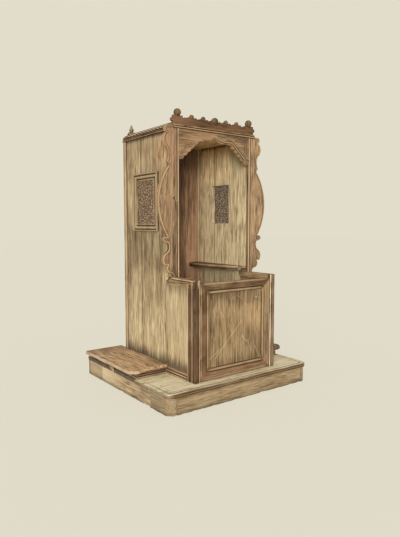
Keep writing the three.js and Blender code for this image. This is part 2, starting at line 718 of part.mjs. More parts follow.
function headerMoulding() {
  const topZ = frontTopZ + HEADER_LAP;
  const bottomZ = topZ - HEADER_HEIGHT;
  const faceY = upperFrontY - HEADER_PROJECTION;
  const roundZ = topZ - HEADER_HEIGHT / 3;
  const section = new Outline(upperFrontY, bottomZ)
    .line(upperFrontY, topZ)
    .line(faceY, topZ)
    .line(faceY, roundZ)
    .arc([(faceY + upperFrontY) / 2, (roundZ + bottomZ) / 2], [upperFrontY - HEADER_PROJECTION / 4, bottomZ]);
  const endX = boothX + HEADER_OVERHANG;
  return run(section.shape(), -endX, endX, alongX);
}

// A board with a lobe at each end and a low hump under each turned ball.
function crest() {
  const endX = boothX;
  const topZ = frontTopZ + CREST_HEIGHT;
  const lobeZ = topZ - CREST_LOBE_RADIUS;
  const middleY = (upperFrontY + frontBackY) / 2;
  const balls = [[0, BIG_BALL_RADIUS]];
  for (const side of [-1, 1]) {
    balls.push([side * CREST_BALL_GAP, SMALL_BALL_RADIUS]);
    balls.push([side * (CREST_BALL_GAP + SMALL_BALL_GAP), SMALL_BALL_RADIUS]);
    balls.push([side * (endX - CREST_END_STEP), BIG_BALL_RADIUS]);
  }
  balls.sort(([a], [b]) => a - b);
  const outline = new Outline(endX, frontTopZ)
    .line(-endX, frontTopZ)
    .line(-endX, lobeZ - CREST_LOBE_RADIUS)
    .arc([-endX - CREST_LOBE_RADIUS, lobeZ], [-endX, topZ]);
  for (const [x, radius] of balls) {
    outline.line(x - radius, topZ).arc([x, topZ + HUMP_HEIGHT], [x + radius, topZ]);
  }
  outline.line(endX, topZ).arc([endX + CREST_LOBE_RADIUS, lobeZ], [endX, lobeZ - CREST_LOBE_RADIUS]);
  const spheres = balls.map(([x, radius]) => {
    const sphere = new THREE.SphereGeometry(radius, BALL_STEPS, BALL_RINGS);
    sphere.rotateX(Math.PI / 2);
    sphere.translate(x, middleY, topZ + HUMP_HEIGHT - BALL_SEAT + radius);
    return facingOut(sphere);
  });
  return join(run(outline.shape(), upperFrontY, frontBackY, alongY), ...spheres);
}

function armShelves() {
  const topZ = deckZ + ARM_HEIGHT;
  const neckY = frontBackY + ARM_NECK_LENGTH;
  const noseY = neckY + ARM_NOSE_LENGTH;
  for (const [name, side] of sides) {
    const at = (width, y) => [side * (innerX - width), y];
    const plan = new Outline(side * innerX, frontBackY)
      .line(side * innerX, backY)
      .line(...at(ARM_REAR_WIDTH, backY))
      .arc(at(ARM_BOW_WIDTH, (backY + noseY) / 2), at(ARM_NOSE_WIDTH, noseY), 2 * ARC_STEPS)
      .arc(at(ARM_NOSE_WIDTH - ARM_NOSE_LENGTH / 4, (neckY + noseY) / 2), at(ARM_NECK_WIDTH, neckY))
      .line(...at(ARM_NECK_WIDTH, frontBackY));
    add(`arm_shelf_${name}`, run(plan.shape(), topZ - ARM_THICKNESS, topZ, alongZ), wood('brown'));
  }
}

function bench() {
  const topZ = deckZ + SEAT_HEIGHT;
  const underZ = topZ - SEAT_THICKNESS;
  const frontY = backY - SEAT_DEPTH;
  const panelY = frontY + SEAT_OVERHANG;
  add('seat_board', board(-innerX, innerX, frontY, backY, underZ, topZ), wood('brown'));
  const panel = board(-innerX, innerX, panelY, panelY + SEAT_FRONT_THICKNESS, deckZ, underZ);
  add('seat_front', panel, wood('brown'));
  const cleat = board(-innerX, innerX, backY - CLEAT_SIZE, backY, underZ - CLEAT_SIZE, underZ);
  add('seat_cleat', cleat, wood('brown'));
}

// In from the member's outer edge, and forward from the door's back: a flat, a quirk, a bead and a slope.
function doorSection() {
  const beadStart = DOOR_FLAT_WIDTH + DOOR_QUIRK_DEPTH;
  const beadEnd = beadStart + DOOR_BEAD_WIDTH;
  const quirk = DOOR_THICKNESS - DOOR_QUIRK_DEPTH;
  const grooveLow = PANEL_INSET - GROOVE_GAP;
  const grooveHigh = PANEL_INSET + PANEL_THICKNESS + GROOVE_GAP;
  const grooveEnd = DOOR_MEMBER_WIDTH - PANEL_TONGUE - GROOVE_GAP;
  return new Outline(0, 0)
    .line(0, DOOR_THICKNESS)
    .line(DOOR_FLAT_WIDTH, DOOR_THICKNESS)
    .line(DOOR_FLAT_WIDTH, quirk)
    .line(beadStart, quirk)
    .arc([(beadStart + beadEnd) / 2, quirk + DOOR_BEAD_WIDTH / 2], [beadEnd, quirk])
    .line(DOOR_MEMBER_WIDTH, grooveHigh + DOOR_QUIRK_DEPTH / 3)
    .line(DOOR_MEMBER_WIDTH, grooveHigh)
    .line(grooveEnd, grooveHigh)
    .line(grooveEnd, grooveLow)
    .line(DOOR_MEMBER_WIDTH, grooveLow)
    .line(DOOR_MEMBER_WIDTH, 0);
}

function door() {
  const section = doorSection().shape();
  const fromLeft = (u, v, s) => [doorLeftX + u, doorBackY - v, s];
  const fromRight = (u, v, s) => [doorRightX - u, doorBackY - v, s];
  const fromTop = (u, v, s) => [s, doorBackY - v, doorTopZ - u];
  const fromBottom = (u, v, s) => [s, doorBackY - v, doorBottomZ + u];
  const stiles = [doorBottomZ + MITRE_GAP, doorTopZ - MITRE_GAP];
  add('door_stile_left', run(section, ...stiles, fromLeft, 1, -1), wood('brown'));
  add('door_stile_right', run(section, ...stiles, fromRight, 1, -1), wood('brown'));
  add('door_rail_top', run(section, doorLeftX, doorRightX, fromTop, 1, -1), wood('brown'));
  add('door_rail_bottom', run(section, doorLeftX, doorRightX, fromBottom, 1, -1), wood('brown'));
  const inset = DOOR_MEMBER_WIDTH - PANEL_TONGUE;
  const panel = board(
    doorLeftX + inset, doorRightX - inset, panelFrontY, panelBackY, doorBottomZ + inset, doorTopZ - inset,
  );
  const hole = rod(SPINDLE_RADIUS + RUNNING_GAP, -DOOR_THICKNESS, DOOR_THICKNESS);
  hole.rotateX(Math.PI / 2).translate(knobX, panelFrontY, knobZ);
  add('door_panel', cut(panel, hole), wood('tan'));
}

// Butt hinges in the gap at the door's left edge, with their knuckles ahead of the door.
function hinges() {
  const axisX = doorLeftX - HINGE_GAP / 2;
  const axisY = lowerFrontY - HINGE_AXIS_AHEAD;
  const leafFrontY = axisY + HINGE_KNUCKLE_RADIUS + HINGE_LEAF_CLEARANCE;
  const leafBackY = leafFrontY + HINGE_LEAF_WIDTH;
  const places = [['lower', doorBottomZ + HINGE_INSET], ['upper', doorTopZ - HINGE_INSET]];
  for (const [name, middleZ] of places) {
    const lowZ = middleZ - HINGE_LENGTH / 2;
    const highZ = middleZ + HINGE_LENGTH / 2;
    const third = HINGE_LENGTH / 3;
    const knuckle = (radius, z0, z1) => rod(radius, z0, z1).translate(axisX, axisY, 0);
    const leaf = (x0, x1, y0, z0, z1) => board(x0, x1, y0, leafBackY, z0, z1);
    const fixedX = [-jambX, HINGE_LEAF_THICKNESS - jambX];
    const movingX = [doorLeftX - HINGE_LEAF_THICKNESS, doorLeftX];
    const fixed = join(
      leaf(...fixedX, leafFrontY, lowZ, highZ),
      leaf(...fixedX, axisY, lowZ, lowZ + third),
      leaf(...fixedX, axisY, highZ - third, highZ),
      knuckle(HINGE_KNUCKLE_RADIUS, lowZ, lowZ + third),
      knuckle(HINGE_KNUCKLE_RADIUS, highZ - third, highZ),
      knuckle(HINGE_PIN_RADIUS, lowZ, highZ),
    );
    add(`hinge_${name}_fixed_leaf`, fixed, iron());
    const innerLow = lowZ + third + RUNNING_GAP;
    const innerHigh = highZ - third - RUNNING_GAP;
    const moving = join(
      leaf(...movingX, leafFrontY, lowZ, highZ),
      leaf(...movingX, axisY, innerLow, innerHigh),
      knuckle(HINGE_KNUCKLE_RADIUS, innerLow, innerHigh),
    );
    const bore = knuckle(HINGE_PIN_RADIUS + RUNNING_GAP, lowZ, highZ);
    add(`hinge_${name}_door_leaf`, cut(moving, bore), iron());
  }
}

// The knob and its spindle turn together with the wooden bar behind the door; at rest the bar hangs down.
function latch() {
  const tipZ = barBackY - panelFrontY;
  const neck = KNOB_RADIUS / 2;
  const neckZ = -GROOVE_GAP - ROSE_THICKNESS - KNOB_LENGTH / 3;
  const tip = -GROOVE_GAP - ROSE_THICKNESS - KNOB_LENGTH;
  const profile = new Outline(0, tip)
    .arc([KNOB_RADIUS, (tip + neckZ) / 2], [neck, neckZ])
    .line(neck, -GROOVE_GAP - ROSE_THICKNESS)
    .line(ROSE_RADIUS, -GROOVE_GAP - ROSE_THICKNESS)
    .line(ROSE_RADIUS, -GROOVE_GAP)
    .line(SPINDLE_RADIUS, -GROOVE_GAP)
    .line(SPINDLE_RADIUS, tipZ)
    .line(0, tipZ);
  const knob = turned(profile).rotateX(-Math.PI / 2);
  add('latch_knob', knob, iron(), [knobX, panelFrontY, knobZ]);
  const half = BAR_WIDTH / 2;
  const plan = new Outline(knobX - half, knobZ)
    .arc([knobX, knobZ + BAR_TAIL], [knobX + half, knobZ])
    .line(knobX + half, knobZ - BAR_LENGTH)
    .line(knobX - half, knobZ - BAR_LENGTH);
  const hole = rod(SPINDLE_RADIUS + GROOVE_GAP, -BAR_THICKNESS, 2 * BAR_THICKNESS);
  hole.rotateX(-Math.PI / 2).translate(knobX, barFrontY, knobZ);
  add('latch_bar', cut(run(plan.shape(), barFrontY, barBackY, alongY), hole), wood('brown'));
}

platform();
kneelers();
sideWalls();
grilles();
roof();
upperFront();
armShelves();
bench();
door();
hinges();
latch();

export default booth;
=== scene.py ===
"""Looks of an old confessional booth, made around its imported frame.

Shapes are worked out in millimetres in the frame's own axes, X across the front, Y from the front to the back
and Z up, and `piece` turns them into metres. Every shape is a grid of points: its rows follow the piece and
its columns go round it.
"""
import math

import bpy
import numpy as np
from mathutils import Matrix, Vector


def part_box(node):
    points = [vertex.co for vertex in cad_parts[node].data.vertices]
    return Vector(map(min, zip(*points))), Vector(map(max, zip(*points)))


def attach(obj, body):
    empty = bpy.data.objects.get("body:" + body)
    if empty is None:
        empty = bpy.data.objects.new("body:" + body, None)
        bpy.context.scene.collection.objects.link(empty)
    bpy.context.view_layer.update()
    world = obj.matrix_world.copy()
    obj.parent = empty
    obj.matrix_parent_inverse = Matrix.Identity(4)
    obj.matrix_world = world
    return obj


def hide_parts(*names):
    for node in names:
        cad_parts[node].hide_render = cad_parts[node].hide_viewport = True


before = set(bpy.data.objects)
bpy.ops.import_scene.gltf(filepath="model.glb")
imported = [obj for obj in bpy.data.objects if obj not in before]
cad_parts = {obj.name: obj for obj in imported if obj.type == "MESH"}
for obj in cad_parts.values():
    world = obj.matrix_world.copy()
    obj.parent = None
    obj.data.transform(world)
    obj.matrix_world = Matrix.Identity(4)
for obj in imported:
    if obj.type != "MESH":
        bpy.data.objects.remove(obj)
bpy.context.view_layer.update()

MM = 0.001
SIDES = (("left", -1), ("right", 1))
X, Y, Z = np.eye(3)
WIDE, DEEP, HIGH = 0, 1, 2  # the same axes by number
GUARD = 3.0  # flat kept beside a rounded corner, so that its shading stays on the corner
CORNER_SHARE, GUARD_SHARE = 0.35, 0.45  # most of an edge that a rounded corner and its guard take
LEAST_ROUNDING = 0.4
SHARP_TURN = 0.2  # turn at which a corner counts as fully worn
CREASE = math.radians(40)
CORNER = math.radians(25)  # least turn of an outline that is rounded as a corner


def span(node):
    """A node's lowest and highest corner at rest, in millimetres."""
    low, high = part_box(node)
    return np.array(low) / MM, np.array(high) / MM


def inner_outer(low, high):
    """How far a side piece's inner and outer face are from the booth's middle."""
    return sorted(abs(x) for x in (low[0], high[0]))


# Places that several pieces share
post_low, post_high = span("corner_post_right")
wing_low, wing_high = span("wing_right")
ledge_low, ledge_high = span("ledge_cap_right")
side_low, side_high = span("lower_side_board_right")
rear_low, rear_high = span("rear_post_right")
deck_z = post_low[2]
booth_x, inner_x = side_high[0], side_low[0]
opening_x, front_top_z = wing_low[0], wing_high[2]
front_y, front_back_y = wing_low[1], wing_high[1]
jamb_x, lower_front_y, post_rear_y = post_low[0], post_low[1], post_high[1]
ledge_under_z, ledge_z, foot_y = ledge_low[2], ledge_high[2], ledge_high[1]
wall_top_z, back_y = rear_high[2], rear_low[1]
joint_y = span("side_rear_board_right")[0][1]


# Shapes

class Outline:
    """Points of an outline, drawn in straight lines and in arcs through a middle point."""

    def __init__(self, *start):
        self.points = np.array([start], float)

    def line(self, *ends):
        self.points = np.vstack([self.points, ends])
        return self

    def arc(self, middle, end, steps=10):
        """Points turned about the centre, equally far from the last point, the middle and the end."""
        start = self.points[-1]
        chords = np.array([middle, end], float) - start
        centre = start + np.linalg.solve(chords, (chords ** 2).sum(1) / 2)
        first = math.atan2(*(start - centre)[::-1])
        last = math.atan2(*(np.array(end) - centre)[::-1])
        turn = (last - first) % (2 * math.pi)
        if np.linalg.det(chords) < 0:
            turn -= 2 * math.pi
        angle = first + turn * np.arange(1, steps + 1) / steps
        radius = np.linalg.norm(start - centre)
        ring = centre + radius * np.stack([np.cos(angle), np.sin(angle)], 1)
        self.points = np.vstack([self.points, ring])
        return self


def unit(steps):
    """Each step at a length of one."""
    return steps / np.maximum(np.linalg.norm(steps, axis=-1, keepdims=True), 1e-9)


def rectangle(width, height):
    return np.array([[0, 0], [width, 0], [width, height], [0, height]], float)


def wound(points):
    """An outline's points in anticlockwise order."""
    x, y = points.T
    area = (x * np.roll(y, -1) - y * np.roll(x, -1)).sum()
    return points if area > 0 else points[::-1]


def soft(points, radius, inset=0.0, steps=4):
    """A closed outline drawn in by an inset, with its corners rounded, in anticlockwise order.

    Each point is first moved in by the inset. A sharp corner then becomes a short curve, which leaves one
    edge and joins the next at the same distance from the corner and is pulled towards it, with a guard point
    on either side. A column of radii and insets gives one outline for each of them.
    """
    points = wound(points)
    rings = points + inset * inward(points)
    back, ahead = np.roll(rings, 1, -2) - rings, np.roll(rings, -1, -2) - rings
    back_length = np.linalg.norm(back, axis=-1, keepdims=True)
    ahead_length = np.linalg.norm(ahead, axis=-1, keepdims=True)
    back, ahead = unit(back), unit(ahead)
    sharp = turn_angle(points) > CORNER
    reach = np.minimum(radius, CORNER_SHARE * np.minimum(back_length, ahead_length))
    t = np.linspace(0, 1, steps)[:, None]
    pull = (1 - t) ** 2 * back[..., None, :] + t ** 2 * ahead[..., None, :]
    curve = rings[..., None, :] + reach[..., None] * pull
    before = rings + back * np.minimum(reach + GUARD, GUARD_SHARE * back_length)
    after = rings + ahead * np.minimum(reach + GUARD, GUARD_SHARE * ahead_length)
    grid = np.concatenate([before[..., None, :], curve, after[..., None, :]], -2)
    grid[..., ~sharp, 0, :] = rings[..., ~sharp, :]
    keep = np.zeros(grid.shape[-3:-1], bool)
    keep[sharp] = True
    keep[:, 0] = True
    return grid[..., keep, :]


def turn_angle(points):
    """How far a closed outline turns at each of its points."""
    ahead = unit(np.roll(points, -1, 0) - points)
    return np.arccos(np.clip((ahead * np.roll(ahead, 1, 0)).sum(1), -1, 1))


def inward(points):
    """At each point of an anticlockwise outline, the step that draws both of its edges in by one."""
    edge = unit(np.roll(points, -1, 0) - points)
    normal = np.stack([-edge[:, 1], edge[:, 0]], 1)
    last = np.roll(normal, 1, 0)
    return (normal + last) / np.maximum(1 + (normal * last).sum(1, keepdims=True), 0.5)


def stacked(outline, levels, radius):
    """Copies of an outline with rounded corners, each drawn in and raised by its level's inset and height."""
    inset, height = np.array(levels, float).T[..., None, None]
    rings = soft(outline, np.maximum(radius - inset, LEAST_ROUNDING), inset)
    return np.concatenate([rings, np.broadcast_to(height, (*rings.shape[:2], 1))], -1)


def along(length, edge, step=80.0):
    """Insets and places along a board: a quarter round at each end and even stations between them."""
    turn = np.linspace(0, np.pi / 2, 4)
    end = np.stack([edge * (1 - np.sin(turn)), edge * (1 - np.cos(turn))], 1)
    places = np.linspace(edge + GUARD, length - edge - GUARD, max(2, int(length / step)))
    middle = np.stack([np.zeros_like(places), places], 1)
    return np.vstack([end, middle, (end * [1, -1] + [0, length])[::-1]])


def placed(grid, origin, u, v, s):
    """The grid's three coordinates laid off from an origin along three axes."""
    return np.asarray(origin, float) + grid @ np.array([u, v, s], float)


def bar(low, high, axis, edge=2.5, step=80.0):
    """A bar that fills a box: a rounded rectangle carried along one axis."""
    size = np.asarray(high, float) - low
    first, second = [i for i in range(3) if i != axis]
    grid = stacked(rectangle(size[first], size[second]), along(size[axis], edge, step), 1.3 * edge)
    axes = np.eye(3)
    return placed(grid, low, axes[first], axes[second], axes[axis])


def upright(points, edge=1.4):
    """A board cut to an outline in X and Z, as thick as the upper front."""
    grid = stacked(points, along(front_back_y - front_y, edge), 1.5 * edge)
    return placed(grid, front_y * Y, X, Z, Y)


def lathe(profile, steps=32):
    """A profile of radius and height turned about the height's axis."""
    radius, height = np.asarray(profile, float).T
    angle = np.linspace(0, 2 * np.pi, steps, endpoint=False)
    ring = radius[:, None, None] * np.stack([np.cos(angle), np.sin(angle)], 1)[None]
    return np.dstack([ring, np.broadcast_to(height[:, None], ring.shape[:2])])


def mitred(section, low, high, count=14):
    """A section carried along a straight run, both ends cut back at 45 degrees by its first coordinate."""
    t = np.linspace(0, 1, count)[:, None]
    u, v = section.T[:, None]
    place = low + u + (high - low - 2 * u) * t
    return np.dstack(np.broadcast_arrays(u, v, place))


def curve(points, count):
    """A smooth line through points: cubics between neighbours, with slopes from the points on either side."""
    points = np.asarray(points, float)
    slope = np.gradient(points, axis=0)
    place = np.linspace(0, len(points) - 1, count)
    first = np.minimum(place.astype(int), len(points) - 2)
    t = (place - first)[:, None]
    start = (2 * t ** 3 - 3 * t ** 2 + 1) * points[first] + (t ** 3 - 2 * t ** 2 + t) * slope[first]
    return start + (3 * t ** 2 - 2 * t ** 3) * points[first + 1] + (t ** 3 - t ** 2) * slope[first + 1]


def offset(line, distance):
    """A line moved sideways, to the left of its direction."""
    ahead = unit(np.gradient(line, axis=0))
    return line + distance * np.stack([-ahead[:, 1], ahead[:, 0]], 1)


def spiral(centre, radius, turns, start, count=60):
    """A flat spiral: the radius shrinks evenly to a fifth while the angle runs on from its start."""
    t = np.linspace(0, 1, count)
    angle = start + 2 * np.pi * turns * t
    reach = radius * (1 - 0.8 * t)
    return np.array(centre) + np.stack([reach * np.cos(angle), reach * np.sin(angle)], 1)


def rib(path, section, out, taper):
    """A section carried along a path: its first coordinate lies across the path and its second along `out`.

    Both shrink to nothing over the taper, a share of the path at either end.
    """
    t = np.linspace(0, 1, len(path))
    swell = np.sqrt(np.clip(np.minimum(t, 1 - t) / taper, 0.01, 1))
    tangent = unit(np.gradient(path, axis=0))
    out = np.broadcast_to(out, path.shape)
    across = unit(np.cross(out, tangent))
    sections = np.broadcast_to(section, (len(path), *np.shape(section)[-2:]))
    flat, rise = np.moveaxis(swell[:, None, None] * sections, -1, 0)[..., None]
    return path[:, None] + flat * across[:, None] + rise * out[:, None]


def rod(width, height, steps=12):
    """A round section: an ellipse about the path."""
    angle = np.linspace(0, 2 * np.pi, steps, endpoint=False)
    return np.stack([width / 2 * np.cos(angle), height * np.sin(angle)], 1)


GROOVE = 3.0  # margin cut on either side of a carved rib, darkened as dirt and painted shade
SUNK = -2.0  # depth to which a carved rib is let into its board


def carved(width, height, steps=7):
    """A carved rib's section and its marks: half an ellipse, light on top, between two margins darkened as
    dirt and painted shade.

    A row of widths gives one section for each place along the rib.
    """
    angle = np.linspace(np.pi, 0, steps)
    half = np.atleast_1d(width)[:, None] / 2
    side = half + GROOVE
    across = np.hstack([-side, -side, half * np.cos(angle), side, side])
    rise = np.concatenate([[SUNK, 0.3], 0.4 + height * np.sin(angle), [0.3, SUNK]])
    marks = np.concatenate([[-1, -1], 1.8 * np.sin(angle) - 1, [-1, -1]])
    return np.stack(np.broadcast_arrays(across, rise), -1), marks


def on_front(line):
    """A line of X and Z laid on the face of the upper front."""
    return np.stack([line[:, 0], np.full(len(line), front_y), line[:, 1]], 1)


def banded(place, bands):
    """Marks across a moulding: each band (from, to, mark) covers the places between its ends, 0 elsewhere."""
    start, end, mark = np.array(bands, float).T
    inside = (place[..., None] > start - 0.05) & (place[..., None] < end + 0.05)
    return np.where(inside.any(-1), mark[inside.argmax(-1)], 0.0)


def moulded(outline, levels, radius, bands, coordinate):
    """A stacked outline and its marks, in bands along one of the grid's coordinates."""
    grid = stacked(outline, levels, radius)
    return grid, banded(grid[..., coordinate], bands)


WAVES = 4
WAVE_LENGTH = 420.0


def waver(grid, amount, seed):
    """Hand-worked unevenness: long sine waves in each direction, with seeded lengths and phases."""
    draw = np.random.default_rng(seed)
    waves = draw.normal(size=(WAVES, 3)) * 2 * np.pi / WAVE_LENGTH
    phases = draw.uniform(0, 2 * np.pi, size=(WAVES, 3))
    return grid + amount * np.sin((grid @ waves.T)[..., None] + phases).mean(-2)


NOTCH_RUN = 1600.0  # notches are drawn this far to either side of the middle
NOTCH_STEP = 22.0
NOTCH_RISE = 34.0  # height at which a notch is no longer felt
NOTCH_LEAST, NOTCH_MOST = 0.3, 1.6  # draw at which a notch begins, and how far past it the deepest is


def chipped(grid, seed, depth):
    """A lower edge worn ragged: seeded notches along it lift the points, less the higher they are."""
    draw = np.random.default_rng(seed)
    knots = np.arange(-NOTCH_RUN, NOTCH_RUN, NOTCH_STEP)
    notch = np.clip(draw.normal(size=knots.size) - NOTCH_LEAST, 0, NOTCH_MOST) / NOTCH_MOST
    lift = depth * np.interp(grid[..., 0] - grid[..., 1], knots, notch)
    raised = grid.copy()
    raised[..., 2] += lift * np.clip(1 - grid[..., 2] / NOTCH_RISE, 0, 1)
    return raised


def signed_volume(grid, loop):
    """The volume inside a grid's faces, positive where they point out: a sum of cones from its middle."""
    grid = grid - grid.mean((0, 1))
    grid = np.concatenate([grid, grid[:1]]) if loop else grid
    around = np.roll(grid, -1, 1)
    total = (np.cross(grid[:-1], around[:-1]) * around[1:]).sum()
    total += (np.cross(grid[:-1], around[1:]) * grid[1:]).sum()
    if not loop:
        for row, way in ((0, -1), (-1, 1)):
            ring = grid[row]
            total += way * (np.cross(ring, np.roll(ring, -1, 0)) * ring.mean(0)).sum()
    return total / 6


def turning(grid, loop):
    """How sharply the surface turns at each point, 1 on a worn corner, -1 in a hollow and 0 on a flat.

    The unit steps to a point's neighbours cancel on a flat. On a corner their sum points in, against the
    normal.
    """
    back, ahead = unit(np.roll(grid, 1, 1) - grid), unit(np.roll(grid, -1, 1) - grid)
    down, up = unit(np.roll(grid, 1, 0) - grid), unit(np.roll(grid, -1, 0) - grid)
    if not loop:
        up[-1] = -down[-1]
        down[0] = -up[0]
    normal = unit(np.cross(ahead - back, up - down))
    turn = -((back + ahead + down + up) * normal).sum(-1) / 2
    return np.clip(turn / SHARP_TURN, -1, 1)


def piece(name, grids, finish, slot, body="booth", stands_for=(), marks=(), loop=False, uneven=0.7, seed=0,
          worn=1.0):
    """One mesh from grids of points. Columns close on themselves, rows too on a loop; other ends are filled.

    Its corners and hollows are marked for the finish, the corners as much as they are worn, unless marks are
    given.
    """
    points, faces, turns, first = [], [], [], 0
    for number, grid in enumerate(grids):
        grid = waver(grid, uneven, seed) if uneven else grid
        inside_out = signed_volume(grid, loop) < 0
        grid = grid[:, ::-1] if inside_out else grid
        rows, columns = grid.shape[:2]
        index = first + np.arange(rows * columns).reshape(rows, columns)
        low = index if loop else index[:-1]
        high = np.roll(index, -1, 0) if loop else index[1:]
        quads = np.stack([low, np.roll(low, -1, 1), np.roll(high, -1, 1), high], -1)
        faces += quads.reshape(-1, 4).tolist()
        points.append(grid.reshape(-1, 3))
        turn = np.array(np.broadcast_to(marks[number], (rows, columns)) if marks else turning(grid, loop))
        turn = turn[:, ::-1] if marks and inside_out else turn
        if not loop:
            faces += [index[0, ::-1].tolist(), index[-1].tolist()]
            turn[[0, -1]] = 0
        turns.append(np.where(turn > 0, worn * turn, turn).ravel())
        first += rows * columns
    mesh = bpy.data.meshes.new(name)
    mesh.from_pydata(np.concatenate(points) * MM, [], faces)
    mesh.attributes.new("turn", "FLOAT", "POINT").data.foreach_set("value", np.concatenate(turns))
    shown(name, mesh, finish, body, stands_for)


def cover(node, ending, grid, finish, slot, marks=None, body="booth", **shape):
    """A piece of one grid that stands for one node and is named after it."""
    marks = () if marks is None else [marks]
    piece(f"{node}_{ending}", [grid], finish, slot, body, [node], marks, **shape)


def shown(name, mesh, finish, body, stands_for):
    """A mesh as a piece of the booth, with its finish, its body and the nodes that it stands for."""
    mesh.polygons.foreach_set("use_smooth", np.ones(len(mesh.polygons), bool))
    mesh.set_sharp_from_angle(angle=CREASE)
    mesh.materials.append(finish)
    made = bpy.data.objects.new(name, mesh)
    bpy.context.scene.collection.objects.link(made)
    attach(made, body)
    if stands_for:
        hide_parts(*stands_for)
    return made


def cells_of(rows, columns):
    """The four corners of each cell of an open grid, as numbers of its points."""
    index = np.arange(rows * columns).reshape(rows, columns)
    return np.stack([index[:-1, :-1], index[:-1, 1:], index[1:, 1:], index[1:, :-1]], -1)


def sheet(name, points, keep, thickness, finish, body="booth", stands_for=(), marks=None):
    """A thin sheet from an open grid of points: only the cells to keep get a face, and it is thickened."""
    used, cells = np.unique(cells_of(*points.shape[:2])[keep], return_inverse=True)
    mesh = bpy.data.meshes.new(name)
    mesh.from_pydata(points.reshape(-1, 3)[used] * MM, [], cells.reshape(-1, 4).tolist())
    if marks is not None:
        mesh.attributes.new("scratch", "FLOAT", "POINT").data.foreach_set("value", marks.ravel()[used])
    made = shown(name, mesh, finish, body, stands_for)
    solid = made.modifiers.new("thickness", "SOLIDIFY")
    solid.thickness = thickness * MM
    solid.offset = -1


# Finishes

def shade(red, green, blue):
    """A colour as it is seen, from 0 to 255, as the linear light that the shaders take."""
    seen = np.array([red, green, blue]) / 255
    light = np.where(seen <= 0.04045, seen / 12.92, ((seen + 0.055) / 1.055) ** 2.4)
    return (*light.tolist(), 1.0)


class Recipe:
    """The nodes of a material or of the world. Each step adds a node and gives back its output."""

    def __init__(self, owner):
        owner.use_nodes = True
        self.owner = owner
        self.tree = owner.node_tree

    def feed(self, node, inputs):
        for key, value in inputs.items():
            if isinstance(value, bpy.types.NodeSocket):
                self.tree.links.new(value, node.inputs[key])
            else:
                node.inputs[key].default_value = value

    def add(self, kind, inputs, output=0, **settings):
        node = self.tree.nodes.new(f"ShaderNode{kind}")
        for key, value in settings.items():
            setattr(node, key, value)
        self.feed(node, inputs)
        return node.outputs[output]

    def place(self):
        return self.add("TexCoord", {}, "Object")

    def stretched(self, place, scale, shift):
        return self.add("Mapping", {"Vector": place, "Scale": scale, "Location": shift})

    def noise(self, place, scale, detail=3.0, roughness=0.6, distortion=0.0):
        inputs = {"Vector": place, "Scale": scale, "Detail": detail, "Roughness": roughness}
        return self.add("TexNoise", {**inputs, "Distortion": distortion})

    def sum(self, first, share, second):
        """The first value times its share, plus the second."""
        return self.add("Math", {0: first, 1: share, 2: second}, operation="MULTIPLY_ADD")

    def times(self, first, second):
        return self.add("Math", {0: first, 1: second}, operation="MULTIPLY")

    def between(self, value, start, end, low=0.0, high=1.0):
        """A value's place between start and end, eased, as a number from low to high."""
        inputs = {"Value": value, "From Min": start, "From Max": end, "To Min": low, "To Max": high}
        return self.add("MapRange", inputs, interpolation_type="SMOOTHSTEP")

    def ramp(self, value, stops):
        node = self.tree.nodes.new("ShaderNodeValToRGB")
        stretch = node.color_ramp.elements
        for extra in stops[2:]:
            stretch.new(extra[0])
        for element, (position, colour) in zip(stretch, stops):
            element.position = position
            element.color = colour
        self.feed(node, {0: value})
        return node.outputs[0]

    def mix(self, factor, first, second, blend="MIX"):
        return self.add("Mix", {0: factor, 6: first, 7: second}, 2, data_type="RGBA", blend_type=blend)

    def mark(self, name):
        return self.add("Attribute", {}, "Fac", attribute_name=name)

    def done(self, colour, roughness, height, strength, distance, **sockets):
        """The finish: colour, roughness and relief go to the shader, with values that hold all over."""
        bump = self.add("Bump", {"Height": height, "Strength": strength, "Distance": distance})
        shader = self.tree.nodes["Principled BSDF"]
        self.feed(shader, {"Base Color": colour, "Roughness": roughness, "Normal": bump, **sockets})
        return self.owner

    def seen(self):
        """One where the surface itself is looked at: by the camera, in a reflection or through glass."""
        rays = self.add("LightPath", {}).node.outputs
        total = rays["Is Camera Ray"]
        for ray in ("Is Glossy Ray", "Is Transmission Ray"):
            total = self.add("Math", {0: total, 1: rays[ray]}, operation="MAXIMUM")
        return total

    def blend(self, share, first, second, end):
        """Two surfaces or backgrounds blended by a share and led to the end node."""
        mixed = self.add("MixShader", {0: share, 1: first, 2: second})
        self.feed(self.tree.nodes[end], {"Surface": mixed})


# Colour of each wood under a plain light
WALL = (160, 136, 100)
WALL_INSIDE = (214, 192, 150)
DECK = (238, 220, 180)
DECK_EDGE = (132, 105, 71)
DECK_LINE = (92, 70, 47)
FASCIA = {"front": (146, 124, 92), "rear": (146, 124, 92), "left": (172, 149, 115), "right": (172, 149, 115)}
CORNER_BLOCK = (150, 129, 98)
KNEELER = (190, 158, 118)
KNEELER_EDGE = (192, 170, 142)
POST = (94, 69, 46)
# the right post's edges are lighter than the left's, a painted highlight
POST_EDGE = {"left": (206, 178, 138), "right": (236, 212, 174)}
LEDGE = (156, 128, 93)
DOOR_FRAME = {
    "stile_left": (93, 69, 42),
    "stile_right": (143, 117, 85),
    "rail_top": (101, 76, 49),
    "rail_bottom": (126, 97, 68),
}
DOOR_EDGE = (170, 142, 107)
DOOR_PANEL = (143, 118, 84)
FRAME = (168, 144, 110)
FRAME_EDGE = (174, 149, 112)
WING = {"left": (146, 118, 87), "right": (162, 133, 99)}
# the left rim's edge colour is a painted highlight and the right one's painted shade
WING_EDGE = {"left": (180, 152, 112), "right": (138, 110, 78)}
RIM = (190, 162, 124)
CARVING = (116, 90, 60)
VALANCE = (152, 121, 87)
HEADER_EDGE = (178, 148, 112)
CREST = (94, 67, 41)
BALL = (108, 86, 56)
CORNICE = (120, 93, 66)
GADROON = (162, 143, 114)
FINIAL = (136, 116, 86)
BACK = (180, 144, 110)
# the roof planks are painted lighter than their wood, a painted light that makes their underside look lit
CEILING = (216, 182, 138)
ARM = (121, 96, 65)
